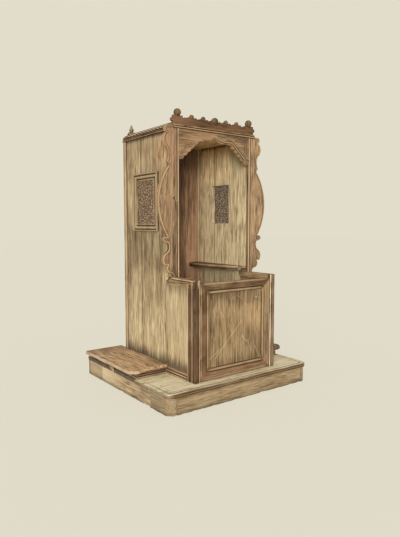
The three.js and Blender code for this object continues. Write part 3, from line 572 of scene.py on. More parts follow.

# Dirt and wear that soil the wood, and painted shade: the darkest colour is dirt in some places and painted
# shade in hollows and under things, and the umber is painted shade
GRIME_AND_SHADE = shade(56, 38, 26)
GREY = shade(152, 142, 116)
ROSE = shade(166, 122, 95)
UMBER = shade(62, 42, 38)
WEATHERED = shade(88, 50, 26)
BROWN = shade(108, 75, 43)
PALE = shade(226, 206, 168)

# Washes: share of the light that the washed wood gives back
WEATHER_WASH = (0.44, 0.375, 0.335, 1.0)
# darkens the wood in patches
DARKER_WASH = (0.5, 0.47, 0.44, 1.0)
# painted light: lightens patches that stand for light falling on the wood
PAINTED_LIGHT_WASH = (1.75, 1.7, 1.62, 1.0)

STROKES, STREAKS, PATCHES = 112.0, 36.0, 13.0  # to the metre, across the grain
STROKE_SQUEEZE, STREAK_SQUEEZE, PATCH_SQUEEZE = 0.075, 0.05, 0.22  # along the grain
BLOTCHES, CLOUDS = 4.6, 2.6  # to the metre
TONE_SHARES = (0.42, 0.88, 1.16, 1.6)  # dark, middle, light and bare wood against its average
TONE_STOPS = np.array((-0.085, -0.025, 0.025, 0.1))  # their places about the middle of the noise
REDDER = np.array([1.0, 0.93, 0.86])
JOINT_CORE, JOINT_REACH = 0.002, 0.008  # metres from a joint's middle


def tones(colour):
    """Dark, middle, light and bare tone of a wood: shares of its colour, the dark one redder."""
    base = np.array(shade(*colour)[:3])
    shares = [share * base * (REDDER if share < 0.6 else 1) for share in TONE_SHARES]
    return [(*np.minimum(tone, 0.95).tolist(), 1.0) for tone in shares]


def old_wood(name, colour, grain, seed, stains_and_shade=(), joints=(), washes=(), edge=None, scratched=False,
             grey=0.3, rose=0.2, lively=1.0):
    """Weathered boards.

    Noise drawn out along the grain gives short strokes and long streaks, and a blotchy one shifts the tone
    towards grey or rose. Corners are worn to the edge's colour, which on the beads and rims that marks pick
    out is partly a painted highlight, and hollows are darkened, partly as dirt and partly as painted shade. A
    stain (axis, from, to, strength, colour) soils the wood, in some places with painted shade, up to one
    place along an axis and fades out at the other with a ragged edge, and a joint (axis, place, strength) is
    a thin dark line. A wash (tint, stretches) multiplies the colour in long patches and lets the grain show
    through;
    a wash that lightens is painted light. It reaches as far as all of its stretches (axis, from, to,
    strength).
    """
    dark, middle, light, bare = tones(colour)
    wood = Recipe(bpy.data.materials.new(f"{name}_wood"))
    place = wood.place()
    shift = (1.7 * seed, 2.3 * seed, 0.9 * seed)

    def drawn_out(squeeze):
        scale = [1.0, 1.0, 1.0]
        scale[grain] = squeeze
        return wood.stretched(place, scale, shift)

    loose = drawn_out(1.0)
    stroke = wood.noise(drawn_out(STROKE_SQUEEZE), STROKES, 2.5, 0.6, 0.3)
    streak = wood.noise(drawn_out(STREAK_SQUEEZE), STREAKS, 3.0, 0.55, 0.4)
    blotch = wood.noise(loose, BLOTCHES, 4.0, 0.6)
    cloud = wood.noise(loose, CLOUDS, 3.0, 0.6)
    tone = wood.sum(stroke, 0.5, wood.sum(streak, 0.3, wood.times(blotch, 0.2)))
    stops = (TONE_STOPS / lively + 0.5).tolist()
    body = wood.ramp(tone, tuple(zip(stops, (dark, middle, light, bare))))
    body = wood.mix(wood.between(blotch, 0.5, 0.72, 0.0, grey), body, GREY)
    body = wood.mix(wood.between(cloud, 0.5, 0.68, 0.0, rose), body, ROSE)
    parts = wood.add("SeparateXYZ", {0: place}).node.outputs

    def soiled_shaded_and_lit(axis, start, end, strength):
        reach = (end - start) * MM
        ragged = wood.sum(stroke, 0.9 * reach, wood.sum(streak, 0.7 * reach, parts[axis]))
        foot = start * MM + 0.8 * reach
        return wood.between(ragged, foot, foot + reach, strength, 0.0)

    if washes:
        patch = wood.noise(drawn_out(PATCH_SQUEEZE), PATCHES, 4.0, 0.65)
        patches = wood.between(patch, 0.38, 0.62, 0.62, 1.0)
    # washes: the ones that lighten are painted light
    for tint, stretches in washes:
        reached = patches
        for stretch in stretches:
            reached = wood.times(reached, soiled_shaded_and_lit(*stretch))
        body = wood.mix(reached, body, tint, "MULTIPLY")
    # dirt, and in some places painted shade under parts and in corners
    for *stretch, tint in stains_and_shade:
        body = wood.mix(soiled_shaded_and_lit(*stretch), body, tint)
    for axis, at, strength in joints:
        away = wood.add("Math", {0: wood.sum(parts[axis], 1.0, -at * MM)}, operation="ABSOLUTE")
        body = wood.mix(wood.between(away, JOINT_CORE, JOINT_REACH, strength, 0.0), body, GRIME_AND_SHADE)
    turn = wood.mark("turn")
    # corners take the edge's colour: wear, and on marked beads and rims a painted highlight
    worn_and_highlit = wood.times(wood.between(turn, 0.1, 0.9), wood.between(blotch, 0.35, 0.6, 0.5, 0.95))
    body = wood.mix(worn_and_highlit, body, shade(*edge) if edge else bare)
    # hollows are darkened: dirt, and painted shade in creases and quirks
    body = wood.mix(wood.between(turn, -0.05, -0.9, 0.0, 0.9), body, GRIME_AND_SHADE)
    if scratched:
        body = wood.mix(wood.mark("scratch"), body, PALE)
    relief = wood.sum(stroke, 0.7, wood.times(streak, 0.5))
    roughness = wood.between(stroke, 0.3, 0.7, 0.85, 0.62)
    return wood.done(body, roughness, relief, 0.4, 0.0012, **{"Specular IOR Level": 0.25})


def old_iron(name, seed, dark, rust_and_sheen):
    """Forged iron: dark where hands have worn it, with rust in blotches and a fine pitted relief. The pale
    blotches of the knob's and hook's iron are also a painted highlight.
    """
    metal = Recipe(bpy.data.materials.new(name))
    place = metal.stretched(metal.place(), (1.0, 1.0, 1.0), (seed, 2 * seed, 3 * seed))
    rust = metal.noise(place, 60.0, 5.0, 0.7)
    pits = metal.noise(place, 420.0, 3.0)
    colour = metal.ramp(rust, ((0.36, shade(*dark)), (0.64, shade(*rust_and_sheen))))
    roughness = metal.between(rust, 0.35, 0.7, 0.45, 0.8)
    return metal.done(colour, roughness, pits, 0.5, 0.0008, Metallic=0.4)


TARNISH = ((0.42, shade(40, 24, 15)), (0.5, shade(98, 72, 48)), (0.58, shade(188, 160, 124)))
TARNISH_CLOUD = shade(104, 74, 62)


def tarnished_tin(name, seed):
    """Pierced sheet gone brown: speckles of lighter and darker tarnish, with purple-brown clouds."""
    metal = Recipe(bpy.data.materials.new(name))
    place = metal.stretched(metal.place(), (1.0, 1.0, 1.0), (seed, 2 * seed, 3 * seed))
    cloud = metal.noise(place, 9.0, 3.0)
    speckle = metal.noise(place, 95.0, 4.0, 0.75)
    colour = metal.ramp(speckle, TARNISH)
    colour = metal.mix(metal.between(cloud, 0.45, 0.7, 0.0, 0.4), colour, TARNISH_CLOUD)
    roughness = metal.between(speckle, 0.3, 0.7, 0.75, 0.5)
    return metal.done(colour, roughness, speckle, 0.4, 0.001, Metallic=0.1)


iron = old_iron("forged_iron", 1.0, (50, 40, 32), (104, 72, 48))
rusted = old_iron("rusted_iron", 3.0, (122, 94, 66), (150, 120, 86))
# the knob's and hook's iron: its pale blotches stand in for a painted highlight
highlit_iron = old_iron("worn_highlit_iron", 4.0, (92, 72, 50), (206, 182, 140))
tin = tarnished_tin("tarnished_tin", 2.0)


# Platform

FASCIA_GRAIN = (("front", WIDE), ("rear", WIDE), ("left", DEEP), ("right", DEEP))
CHIP_DEPTH = (5.5, 9.5)  # of boards that run across and of boards that run back
# dirt rising from the foot, and a thin dark line at the very foot that is a painted contact shadow
FOOT_DIRT_AND_SHADOW = ((HIGH, 0, 45, 0.45, GRIME_AND_SHADE), (HIGH, 0, 9, 0.7, GRIME_AND_SHADE))
SIDE_JOINT = 374.0  # where a side fascia is pieced
SIDE_STAINS = (
    (DEEP, SIDE_JOINT, SIDE_JOINT - 430, 0.6, PALE),
    (DEEP, SIDE_JOINT + 12, SIDE_JOINT - 4, 0.4, BROWN),
)
DECK_REAR_DIRT = (DEEP, 640, 560, 0.3, GRIME_AND_SHADE)
DECK_END_SHARE = 0.86  # where the painted shadow under the kneelers at the rear deck's ends fades out, against their distance


def platform():
    """Fascia boards and corner blocks with a ragged foot, a bearer, and a deck with a moulded nosing."""
    for seed, (name, grain) in enumerate(FASCIA_GRAIN, 3):
        node = f"fascia_{name}"
        low, high = span(node)
        stains_and_shade = FOOT_DIRT_AND_SHADOW
        joints = [(grain, place, 0.3) for place in (low[grain], high[grain])]
        if grain == DEEP:
            stains_and_shade = SIDE_STAINS + FOOT_DIRT_AND_SHADOW
            joints.append((DEEP, SIDE_JOINT, 0.4))
        finish = old_wood(node, FASCIA[name], grain, seed, stains_and_shade, joints, rose=0.4, lively=0.95)
        grid = chipped(bar(low, high, grain, 3.0, 14.0), seed, CHIP_DEPTH[grain])
        cover(node, "plank", grid, finish, "wood_tan", seed=seed, worn=0.4)
    for name, side in SIDES:
        corner_block(name, side)
    finish = old_wood("bearer", CORNER_BLOCK, DEEP, 9)
    cover("platform_bearer", "beam", bar(*span("platform_bearer"), DEEP), finish, "wood_tan")
    low, high = span("deck_rear")
    # painted shadow under the kneelers' outer edges, at the deck's ends
    ends = [(WIDE, x, x * DECK_END_SHARE, 0.92, UMBER) for x in (low[0], high[0])]
    joints = ((DEEP, low[1], 0.5),)
    finish = old_wood("deck_rear", DECK, WIDE, 10, (DECK_REAR_DIRT, *ends), joints, grey=0.15, lively=0.65)
    cover("deck_rear", "plank", bar(low, high, WIDE, 3.0), finish, "wood_pale", worn=0.2)
    deck_front()


BLOCK_FLAT = 6.0  # front face left beside the rounded corner


def rounded_front(side, x, y, radius, outline):
    """A quarter circle that turns a front corner between the front edge and the side edge."""
    diagonal = radius * (1 - math.sqrt(0.5))
    return outline.arc((side * (x - diagonal), y + diagonal), (side * x, y + radius), 14)


def corner_block(name, side):
    """The block's plan carried up in levels, closer together near its ragged foot."""
    node = f"corner_block_{name}"
    low, high = span(node)
    inner, outer = inner_outer(low, high)
    front, back, top = low[1], high[1], high[2]
    radius = outer - inner - BLOCK_FLAT
    plan = Outline(side * inner, back).line((side * inner, front), (side * (inner + BLOCK_FLAT), front))
    rounded_front(side, outer, front, radius, plan)
    plan.line(*[(side * outer, y) for y in np.linspace(front + radius, back, 14)[1:]])
    levels = [(2, 0), (0.5, 0.6), (0, 2), (0, 12), (0, 34)]
    levels += [(0, top - 6), (0, top - 2), (0.6, top - 0.6), (2, top)]
    joints = ((WIDE, side * inner, 0.45), (DEEP, back, 0.15))
    finish = old_wood(node, CORNER_BLOCK, DEEP, 11 + side, FOOT_DIRT_AND_SHADOW, joints, lively=0.6)
    grid = chipped(stacked(plan.points, levels, 2.0), 20 + side, CHIP_DEPTH[WIDE])
    cover(node, "worn", grid, finish, "wood_tan", worn=0.4)


NOSING_LEVELS = (
    (14, 0), (5, 0.3), (3, 1.5), (3, 5), (9, 6.5), (9, 10.5), (1.5, 12), (0, 14), (0, 18), (1.5, 20),
    (7, 21.5), (7, 24.5), (3, 25.5), (4, 27.5), (7, 28), (12, 28), (16, 28),
)
NOSING_BANDS = ((0, 5.5, 0.9), (6, 11, -1), (11.5, 20.5, 0.9), (21, 25, -1))
DECK_LINE_INSET = 40.0
DECK_LINE_SECTION = ((-4.5, SUNK), (-4.0, 0.5), (4.0, 0.5), (4.5, SUNK))


def deck_front():
    """The deck's plan carried up through a nosing: a fillet, a quirk and a rounded upper edge.

    Half the plan is drawn and mirrored. A low strip follows the plan's edge at an inset.
    """
    low, high = span("deck_front")
    inner, outer = inner_outer(*span("corner_block_right"))
    radius = outer - inner - BLOCK_FLAT + high[0] - span("fascia_right")[1][0]
    half = rounded_front(1, high[0], low[1], radius, Outline(high[0] - radius, low[1]))
    half = half.line((high[0], high[1])).points
    plan = np.vstack([half[::-1] * (-1, 1), half])
    grid, marks = moulded(plan, NOSING_LEVELS, 1.0, NOSING_BANDS, 2)
    stains_and_shade = [(DEEP, low[1], low[1] + 30, 0.95, BROWN)]
    stains_and_shade += [(WIDE, x, x * 0.97, 0.4, GRIME_AND_SHADE) for x in (low[0], high[0])]
    joints = ((DEEP, high[1], 0.5),)
    finish = old_wood(
        "deck_front", DECK, WIDE, 12, stains_and_shade, joints, edge=DECK_EDGE, grey=0.15, lively=0.65)
    cover("deck_front", "plank", placed(grid, low[2] * Z, X, Y, Z), finish, "wood_pale", marks)
    line = offset(plan, DECK_LINE_INSET)
    line = np.column_stack([line, np.full(len(line), high[2])])
    finish = old_wood("deck_line", DECK_LINE, WIDE, 13)
    piece("deck_nosing_line", [rib(line, DECK_LINE_SECTION, Z, 0.01)], finish, "wood_pale", uneven=0)


# Kneelers

NOSE_RADIUS = 70.0
NOSE_REACH = {"left": 28.0, "right": 2.0}  # how far the nose stands in front of the board's front edge
NOSE_SWEEP = 74.0  # length over which the front edge runs out to the nose
NOSE_DIRT_AND_SHADE = {"left": (0.1, 40.0), "right": (0.8, 130.0)}  # strength and reach of the darkening at the board's front, which on the right is painted shade
FRONT_EDGE_SHARE = 0.2  # how far the front edge takes the light band, against the nose
BULLNOSE = ((9, 0), (3.5, 1), (1, 4), (0, 9), (0, 17), (1, 22), (3.5, 26.5), (8, 29.4), (13, 30), (20, 30))
# the left board's rounded edge has a light band, a painted highlight; the right one's has none, as if in
# shade
BULLNOSE_BANDS = {"left": ((0, 4, -1), (8, 23, 0.9)), "right": ((0, 4, -1),)}
RISER_MOULDING = (
    (0.6, 0), (0, 1), (0, 9), (5, 10.5), (5, 15.5), (1, 17), (1, 27), (6, 28.5), (6, 33.5), (2, 35), (3, 38),
    (7, 41), (7, 45),
)
RISER_BANDS = ((0, 9, 0.7), (10, 16, -1), (28, 34, -1), (35, 38, 0.7), (40, 45, -1))
STRUT_WIDTH = 22.0


def kneelers():
    """At each side a board with a rounded nose on a moulded riser, and a strut under its outer edge."""
    for name, side in SIDES:
        kneeler_board(name, side)
        node = f"kneeler_riser_{name}"
        low, high = span(node)
        grid, marks = moulded(rectangle(*(high - low)[:2]), RISER_MOULDING, 2.0, RISER_BANDS, 2)
        finish = old_wood(node, CORNICE, WIDE, 18 + side, edge=RIM)
        cover(node, "moulded", placed(grid, low, X, Y, Z), finish, "wood_russet", marks)
        strut(name, side)


def kneeler_board(name, side):
    """The plan carried up through a rounded edge.

    The nose is a quarter circle at the outer front corner, and a hollow arc joins it to the straight front.
    """
    node = f"kneeler_board_{name}"
    low, high = span(node)
    inner, outer = inner_outer(low, high)
    reach = NOSE_REACH[name]
    tip, front = outer - NOSE_RADIUS, low[1] - reach
    sweep = tip - NOSE_SWEEP
    plan = Outline(side * inner, high[1]).line((side * inner, low[1]), (side * sweep, low[1]))
    plan.arc((side * (tip - NOSE_SWEEP / 2), low[1] - reach * 0.3), (side * tip, front), 6)
    rounded_front(side, outer, front, NOSE_RADIUS, plan).line((side * outer, high[1]))
    grid, marks = moulded(plan.points, BULLNOSE, 4.0, BULLNOSE_BANDS[name], 2)
    bright = np.interp(np.abs(grid[..., 0]), (sweep, tip), (FRONT_EDGE_SHARE, 1.0))
    marks = np.where(marks > 0, marks * bright, marks)
    # darkening at the board's front: on the right board it is painted shade
    dirt, darkness_reach = NOSE_DIRT_AND_SHADE[name]
    stains_and_shade = (
        (WIDE, side * inner, side * (inner + 50), 0.5, GRIME_AND_SHADE),
        (DEEP, high[1], high[1] - 260, 0.5, ROSE),
        (DEEP, low[1], low[1] + darkness_reach, dirt, GRIME_AND_SHADE),
    )
    washes = ((DARKER_WASH, ((DEEP, high[1], high[1] - 300, 0.75),)),)
    finish = old_wood(
        node, KNEELER, DEEP, 15 + side, stains_and_shade, washes=washes, edge=KNEELER_EDGE, lively=1.15)
    cover(node, "worn", placed(grid, low[2] * Z, X, Y, Z), finish, "wood_russet", marks)


def strut(name, side):
    """A slanted bar cut off upright at the platform and level under the kneeler board."""
    node = f"kneeler_strut_{name}"
    low, high = span(node)
    width, depth, height = high - low
    plan = np.array([(0, 0), (0, STRUT_WIDTH), (width - STRUT_WIDTH, height), (width, height)])
    foot = (side * inner_outer(low, high)[0], low[1], low[2])
    grid = placed(stacked(plan, along(depth, 1.2), 2.0), foot, side * X, Z, Y)
    cover(node, "bar", grid, old_wood(node, FRAME, HIGH, 21 + side), "wood_russet")


# Side walls

DIRT_FOOT, DIRT_TOP = deck_z + 75, deck_z + 175  # heights between which rising dirt fades out
UPPER_DIRT_FOOT = 1480.0
OPENING_HALF = np.array((115.0, 167.0))
SKIN = 10.0  # depth to which a wash colours one face of a board only
BROWN_FADE = (820.0, 360.0)  # heights, from full strength to none
# heights between which the outer boards are darker, under the grille
DARK_BAND_TOP, DARK_BAND_FOOT = (1230.0, 1330.0), (980.0, 860.0)
# heights and places of the painted light on the side boards, outside and inside
LIT_OUTSIDE, LIT_INSIDE = (1800.0, 1690.0), (1720.0, 1600.0)
LIT_FRONT, LIT_REAR = (-90.0, 20.0), (40.0, -70.0)  # places from front to back


def side_walls():
    """On each side upright boards, a beaded rear post, a reeded corner post, a ledge and a base moulding."""
    for name, side in SIDES:
        side_boards(name, side)
        rear_post(name, side)
        corner_post(name, side)
        ledge_cap(name, side)
        base_moulding(name, side)


def side_boards(name, side):
    """Three boards cut to outlines in Y and Z: the upper two are notched round the grille's opening."""
    middle = np.mean(span("grille_plate_right"), 0)[1:]
    (low_y, low_z), (high_y, high_z) = middle - OPENING_HALF, middle + OPENING_HALF
    rear = (
        (joint_y, deck_z), (back_y, deck_z), (back_y, wall_top_z), (joint_y, wall_top_z), (joint_y, high_z),
        (high_y, high_z), (high_y, low_z), (joint_y, low_z),
    )
    front = (
        (joint_y, deck_z), (joint_y, low_z), (low_y, low_z), (low_y, high_z), (joint_y, high_z),
        (joint_y, wall_top_z), (front_back_y, wall_top_z), (front_back_y, ledge_z), (foot_y, ledge_z),
        (foot_y, deck_z),
    )
    lower = (
        (post_rear_y, deck_z), (foot_y, deck_z), (foot_y, ledge_under_z), (post_rear_y, ledge_under_z),
    )
    upper = (HIGH, wall_top_z, UPPER_DIRT_FOOT, 0.3, WEATHERED)
    dirt = (HIGH, DIRT_FOOT, DIRT_TOP, 0.75, GRIME_AND_SHADE)
    # painted shade: darker under the cornice and under the ledge
    shade_under_cornice = (HIGH, wall_top_z, wall_top_z - 36, 0.8, GRIME_AND_SHADE)
    shade_under_ledge = (HIGH, ledge_under_z, ledge_under_z - 90, 0.5, GRIME_AND_SHADE)
    beside_post = (DEEP, back_y, back_y - 22, 0.5, GRIME_AND_SHADE)
    exposed, sheltered = board_washes(side)
    boards = (
        ("side_rear_board", rear, exposed, (upper, dirt, shade_under_cornice, beside_post), joint_y, 0.8),
        ("side_front_board", front, exposed, (upper, dirt, shade_under_cornice), joint_y, 0.8),
        ("lower_side_board", lower, sheltered, (dirt, shade_under_ledge), foot_y, 0.5),
    )
    for number, (board, outline, washes, stains_and_shade, joint, lively) in enumerate(boards):
        node = f"{board}_{name}"
        grid = stacked(np.array(outline), along(booth_x - inner_x, 1.5), 2.0)
        grid = placed(grid, side * inner_x * X, Y, Z, side * X)
        seed = 30 + 4 * number + side
        joints = ((DEEP, joint, 0.6),)
        finish = old_wood(node, WALL_INSIDE, HIGH, seed, stains_and_shade, joints, washes, lively=lively)
        cover(node, "plank", grid, finish, "wood_tan", seed=number, worn=0.2)


def board_washes(side):
    """Washes of the two upper boards and of the lower one.

    Outside, the upper boards are brown above the kneeler, darker under the grille and painted lighter at the
    top in front, a painted light. Inside, they get painted light at the top in the rear.
    """
    outside = (WIDE, side * booth_x, side * (booth_x - SKIN), 1.0)
    inside = (WIDE, side * inner_x, side * (inner_x + SKIN), 1.0)
    upper = (
        (WEATHER_WASH, (outside, (HIGH, wall_top_z, wall_top_z + 900, 0.38))),
        (WEATHER_WASH, (outside, (HIGH, *BROWN_FADE, 0.66))),
        (DARKER_WASH, (outside, (HIGH, *DARK_BAND_FOOT, 0.75), (HIGH, *DARK_BAND_TOP, 1.0))),
        (PAINTED_LIGHT_WASH, (outside, (HIGH, *LIT_OUTSIDE, 1.2), (DEEP, *LIT_FRONT, 1.0))),
        (PAINTED_LIGHT_WASH, (inside, (HIGH, *LIT_INSIDE, 1.0), (DEEP, *LIT_REAR, 1.0))),
    )
    lower = ((WEATHER_WASH, (outside, (HIGH, ledge_z, wall_top_z, 0.55))),)
    return upper, lower


POST_BANDS = ((0, 16, -0.6), (16.5, 39, 0.9), (39.5, 100, -0.3))  # back from the side boards


def rear_post(name, side):
    """A post with one bead between a wide quirk and a sunk margin down its outer face."""
    node = f"rear_post_{name}"
    low, high = span(node)
    width, depth, height = high - low
    section = Outline(0, 0).line((width - 5, 0), (width - 5, 16), (width - 1, 16.5))
    section.arc((width + 1, 28), (width - 1, 39)).line((width - 3, 39.5), (width - 3, depth), (0, depth))
    grid, marks = moulded(section.points, along(height, 0.9), 1.0, POST_BANDS, 1)
    marks = marks * (grid[..., 0] > width / 2)
    grid = placed(grid, (side * inner_outer(low, high)[0], low[1], low[2]), side * X, Y, Z)
    stains_and_shade = ((HIGH, DIRT_FOOT, DIRT_TOP, 0.5, GRIME_AND_SHADE),)
    finish = old_wood(node, WALL, HIGH, 44 + side, stains_and_shade, edge=RIM)
    cover(node, "beaded", grid, finish, "wood_tan", marks)


REED_RISE = 6.0
REED_OVER = 3.0  # how far the side reeds stand proud of the booth's side
QUIRK = 6.0
JAMB_THICKNESS = 30.0
FRONT_REEDS, SIDE_REEDS = (14.0, 28.0), (26.0, 10.0, 28.0, 10.0)
FRONT_BANDS = {  # in from the jamb; the left post's front face gets painted shade and the right one's a painted highlight
    "left": ((1, 13, 0.5), (13.5, 20.5, -1), (21, 49, -0.35)),
    "right": ((1, 13, 1), (13.5, 20.5, -0.7), (21, 49, 0.3)),
}
SIDE_BANDS = ((26, 32, -1), (33, 41, 1), (42, 48, -1), (76, 82, -1), (83, 91, 1))  # back from the first reed


def reeds(edge, start, along_face, out, widths):
    """Beads side by side along a straight face: low arcs on short walls, with flat quirks between them."""
    start, along_face, out = np.array(start, float), np.array(along_face, float), np.array(out, float)
    for width in widths:
        foot, end = start, start + width * along_face
        edge.line(foot, foot + 0.6 * out).arc((foot + end) / 2 + out, end + 0.6 * out, 7).line(end)
        start = end + QUIRK * along_face


def corner_post(name, side):
    """An L in plan, a jamb and a stile, faced with reeds."""
    node = f"corner_post_{name}"
    floor_x, floor_y = booth_x + REED_OVER - REED_RISE, lower_front_y + REED_RISE
    plan = Outline(jamb_x, lower_front_y + JAMB_THICKNESS)
    reeds(plan, (jamb_x, floor_y), (1, 0), (0, -REED_RISE), FRONT_REEDS)
    side_start = post_rear_y - sum(SIDE_REEDS) - QUIRK * (len(SIDE_REEDS) - 1)
    reeds(plan, (floor_x, side_start), (0, 1), (REED_RISE, 0), SIDE_REEDS)
    plan.line((inner_x, post_rear_y), (inner_x, lower_front_y + JAMB_THICKNESS))
    grid = stacked(plan.points, along(ledge_z - deck_z, 0.7), 0.8)
    x, y = grid[..., 0], grid[..., 1]
    on_side = banded(y - side_start, SIDE_BANDS) * (x > floor_x - 1)
    marks = np.where(y < floor_y + 1, banded(x - jamb_x, FRONT_BANDS[name]), on_side)
    stains_and_shade = ((HIGH, deck_z, deck_z + 60, 0.5, GRIME_AND_SHADE),)
    finish = old_wood(node, POST, HIGH, 48 + side, stains_and_shade, edge=POST_EDGE[name])
    cover(node, "reeded", placed(grid, deck_z * Z, side * X, Y, Z), finish, "wood_brown", marks)


LEDGE_END_SLOPE = 90.0
LEDGE_INNER = 42.0  # thickness over the door's jamb
LEDGE_BANDS = ((3, 11, 1), (12.5, 18.5, -1), (39.5, 45.5, -1), (46.5, 59, 0.2))  # down from the top


def ledge_cap(name, side):
    """A moulding carried along the side; its rear end slopes back and its front is mitred into the post."""
    node = f"ledge_cap_{name}"
    over = ledge_high[0] - booth_x
    width = booth_x - jamb_x
    inner_z = ledge_z - LEDGE_INNER
    section = Outline(-width, inner_z).line((-width, ledge_z), (over - 3, ledge_z))
    section.arc((over, ledge_z - 6), (over - 3, ledge_z - 12), 6)
    section.line((over - 8, ledge_z - 13), (over - 8, ledge_z - 18), (over - 4, ledge_z - 19))
    section.arc((over - 7, ledge_z - 31), (over - 12, ledge_z - 39), 7)
    section.line((over - 15, ledge_z - 40), (over - 15, ledge_z - 45), (over - 12, ledge_z - 46))
    section.arc((over - 9, ledge_under_z + 7), (over - 12, ledge_under_z), 6)
    section.line((inner_x - booth_x, ledge_under_z), (inner_x - booth_x, inner_z))
    u, v = soft(section.points, 1.2).T
    drop = (ledge_z - v) / (ledge_z - ledge_under_z)
    slope = np.where(u > 0, LEDGE_END_SLOPE * (1 - drop), 0)
    mitre = np.where(u > 0, drop * (post_rear_y - lower_front_y), 1.5)
    rear = np.stack([booth_x + u, foot_y - slope, v], 1)
    front = np.stack([booth_x + u, lower_front_y + 0.5 + mitre, v], 1)
    t = np.linspace(0, 1, 12)[:, None, None]
    grid = (rear + (front - rear) * t) * [side, 1, 1]
    marks = banded(ledge_z - v, LEDGE_BANDS) * (u > -1)
    finish = old_wood(node, LEDGE, DEEP, 52 + side, edge=POST_EDGE["left"])
    cover(node, "moulded", grid, finish, "wood_brown", marks, uneven=0.4)


BASE_HEIGHT = 56.0
BASE_DEPTH = 14.0
BASE_BANDS = (  # up from the deck
    (3, 14, 0.8), (15.5, 20.5, -1), (22, 32, 0.8), (33.5, 38.5, -1), (40, 52, 0.5),
)


def base_moulding(name, side):
    """A skirting of three steps along the foot of the lower side, from the kneeler to the corner post."""
    deep = BASE_DEPTH
    section = Outline(0, 0).line((deep, 0), (deep, 15), (deep - 6, 16), (deep - 6, 20), (deep - 3, 21))
    section.arc((deep - 1, 27), (deep - 4, 33), 6).line((deep - 10, 34), (deep - 10, 38), (deep - 7, 39))
    section.arc((deep - 6, 45), (0, BASE_HEIGHT), 6)
    start, end = post_rear_y, span(f"kneeler_riser_{name}")[0][1]
    grid, marks = moulded(section.points, along(end - start, 0.6), 0.8, BASE_BANDS, 1)
    grid = placed(grid, (side * booth_x, start, deck_z), side * X, Z, Y)
    finish = old_wood(f"base_{name}", CORNICE, DEEP, 56 + side, edge=RIM)
    piece(f"base_moulding_{name}", [grid], finish, "wood_brown", marks=[marks])


# Speaking grilles

FRAME_BORDER = 56.0
FRAME_BANDS = (  # out from the plate
    (0, 8.8, 0.4), (9, 20, -0.8), (21, 37, 0.7), (38, 48, -0.8), (49, 56, 0.9),
)
HOLE_PITCH = 15.0
HOLE_RADIUS = 2.9
SHEET_THICKNESS = 1.6
SHEET_OVER = 3.2  # how far the sheet stands over the wall


def grilles():
    """Over each side wall's opening, a frame's section mitred round four corners, and a pierced sheet."""
    low, high = span("grille_frame_right")
    middle = (low + high) / 2
    border = FRAME_BORDER
    half_y, half_z = (high - low)[1:] / 2 - border
    section = Outline(0, 4.5).line((12.5, 4.5), (12.5, 0), (border, 0), (border, 8), (border, 17))
    section.arc((52.5, 22), (49, 18), 6).line((48, 11), (38, 11), (37, 15)).arc((29, 14.5), (21, 10.5), 6)
    section.line((20, 6.5), (10, 6.5), (9, 11)).arc((4.5, 14), (0, 11), 6)
    u, v = soft(section.points, 0.8).T
    # the frame's outer edge against the wall is darkened, a painted shadow gap
    marks = np.where((u > border - 0.5) & (v < 9), -0.8, banded(u, FRAME_BANDS) * (v > 5))
    corners = np.array([(-1, -1), (1, -1), (1, 1), (-1, 1)])
    for name, side in SIDES:
        node = f"grille_frame_{name}"
        y = middle[1] + corners[:, :1] * (half_y + u)
        z = middle[2] + corners[:, 1:] * (half_z + u)
        x = np.broadcast_to(side * (booth_x + v), y.shape)
        finish = old_wood(node, CORNER_BLOCK, HIGH, 60 + side, edge=FRAME_EDGE, grey=0.15)
        cover(node, "moulded", np.dstack([x, y, z]), finish, "wood_tan", marks, loop=True, uneven=0.4)
        pierced_sheet(name, side)


def pierced_sheet(name, side):
    """A sheet of square cells, four steps to a cell, with a round hole in each.

    The inner steps are left out and the eight points round them are drawn on to a circle. A slow wave keeps
    the sheet from being quite flat.
    """
    node = f"grille_plate_{name}"
    low, high = span(node)
    columns, rows = ((high - low)[1:] // HOLE_PITCH).astype(int)
    pitch = (high - low)[1:] / (columns, rows)
    row, column = np.mgrid[0:4 * rows + 1, 0:4 * columns + 1]
    off = np.stack([column % 4 - 2.0, row % 4 - 2.0], -1)
    ring = np.abs(off).max(-1) == 1
    y = low[1] + column * pitch[0] / 4
    z = low[2] + row * pitch[1] / 4
    round_off = unit(off) * HOLE_RADIUS
    y = np.where(ring, y - off[..., 0] * pitch[0] / 4 + round_off[..., 0], y)
    z = np.where(ring, z - off[..., 1] * pitch[1] / 4 + round_off[..., 1], z)
    x = side * (booth_x + SHEET_OVER + 0.7 * np.sin(y / 47) * np.sin(z / 61))
    cell_row, cell_column = np.mgrid[0:4 * rows, 0:4 * columns]
    keep = ~(np.isin(cell_row % 4, (1, 2)) & np.isin(cell_column % 4, (1, 2)))
    points = np.dstack([x, y, z])
    if side < 0:
        points, keep = points[:, ::-1], keep[:, ::-1]
    sheet(f"{node}_pierced", points, keep, SHEET_THICKNESS, tin, stands_for=[node])


# Roof and back

ROOF_PLANKS = 5
BACK_JOINTS = (-118.0, 121.0)
BACK_SHADE = ((HIGH, wall_top_z, 1300, 0.6, UMBER), (WIDE, 130, 330, 0.75, UMBER))
# painted light, low down
BACK_PAINTED_LIGHT = ((HIGH, 1180, 1380, 0.8), (WIDE, 260, 330, 1.0))
PLANK_GAP = 0.4  # distance from a plank to the joint


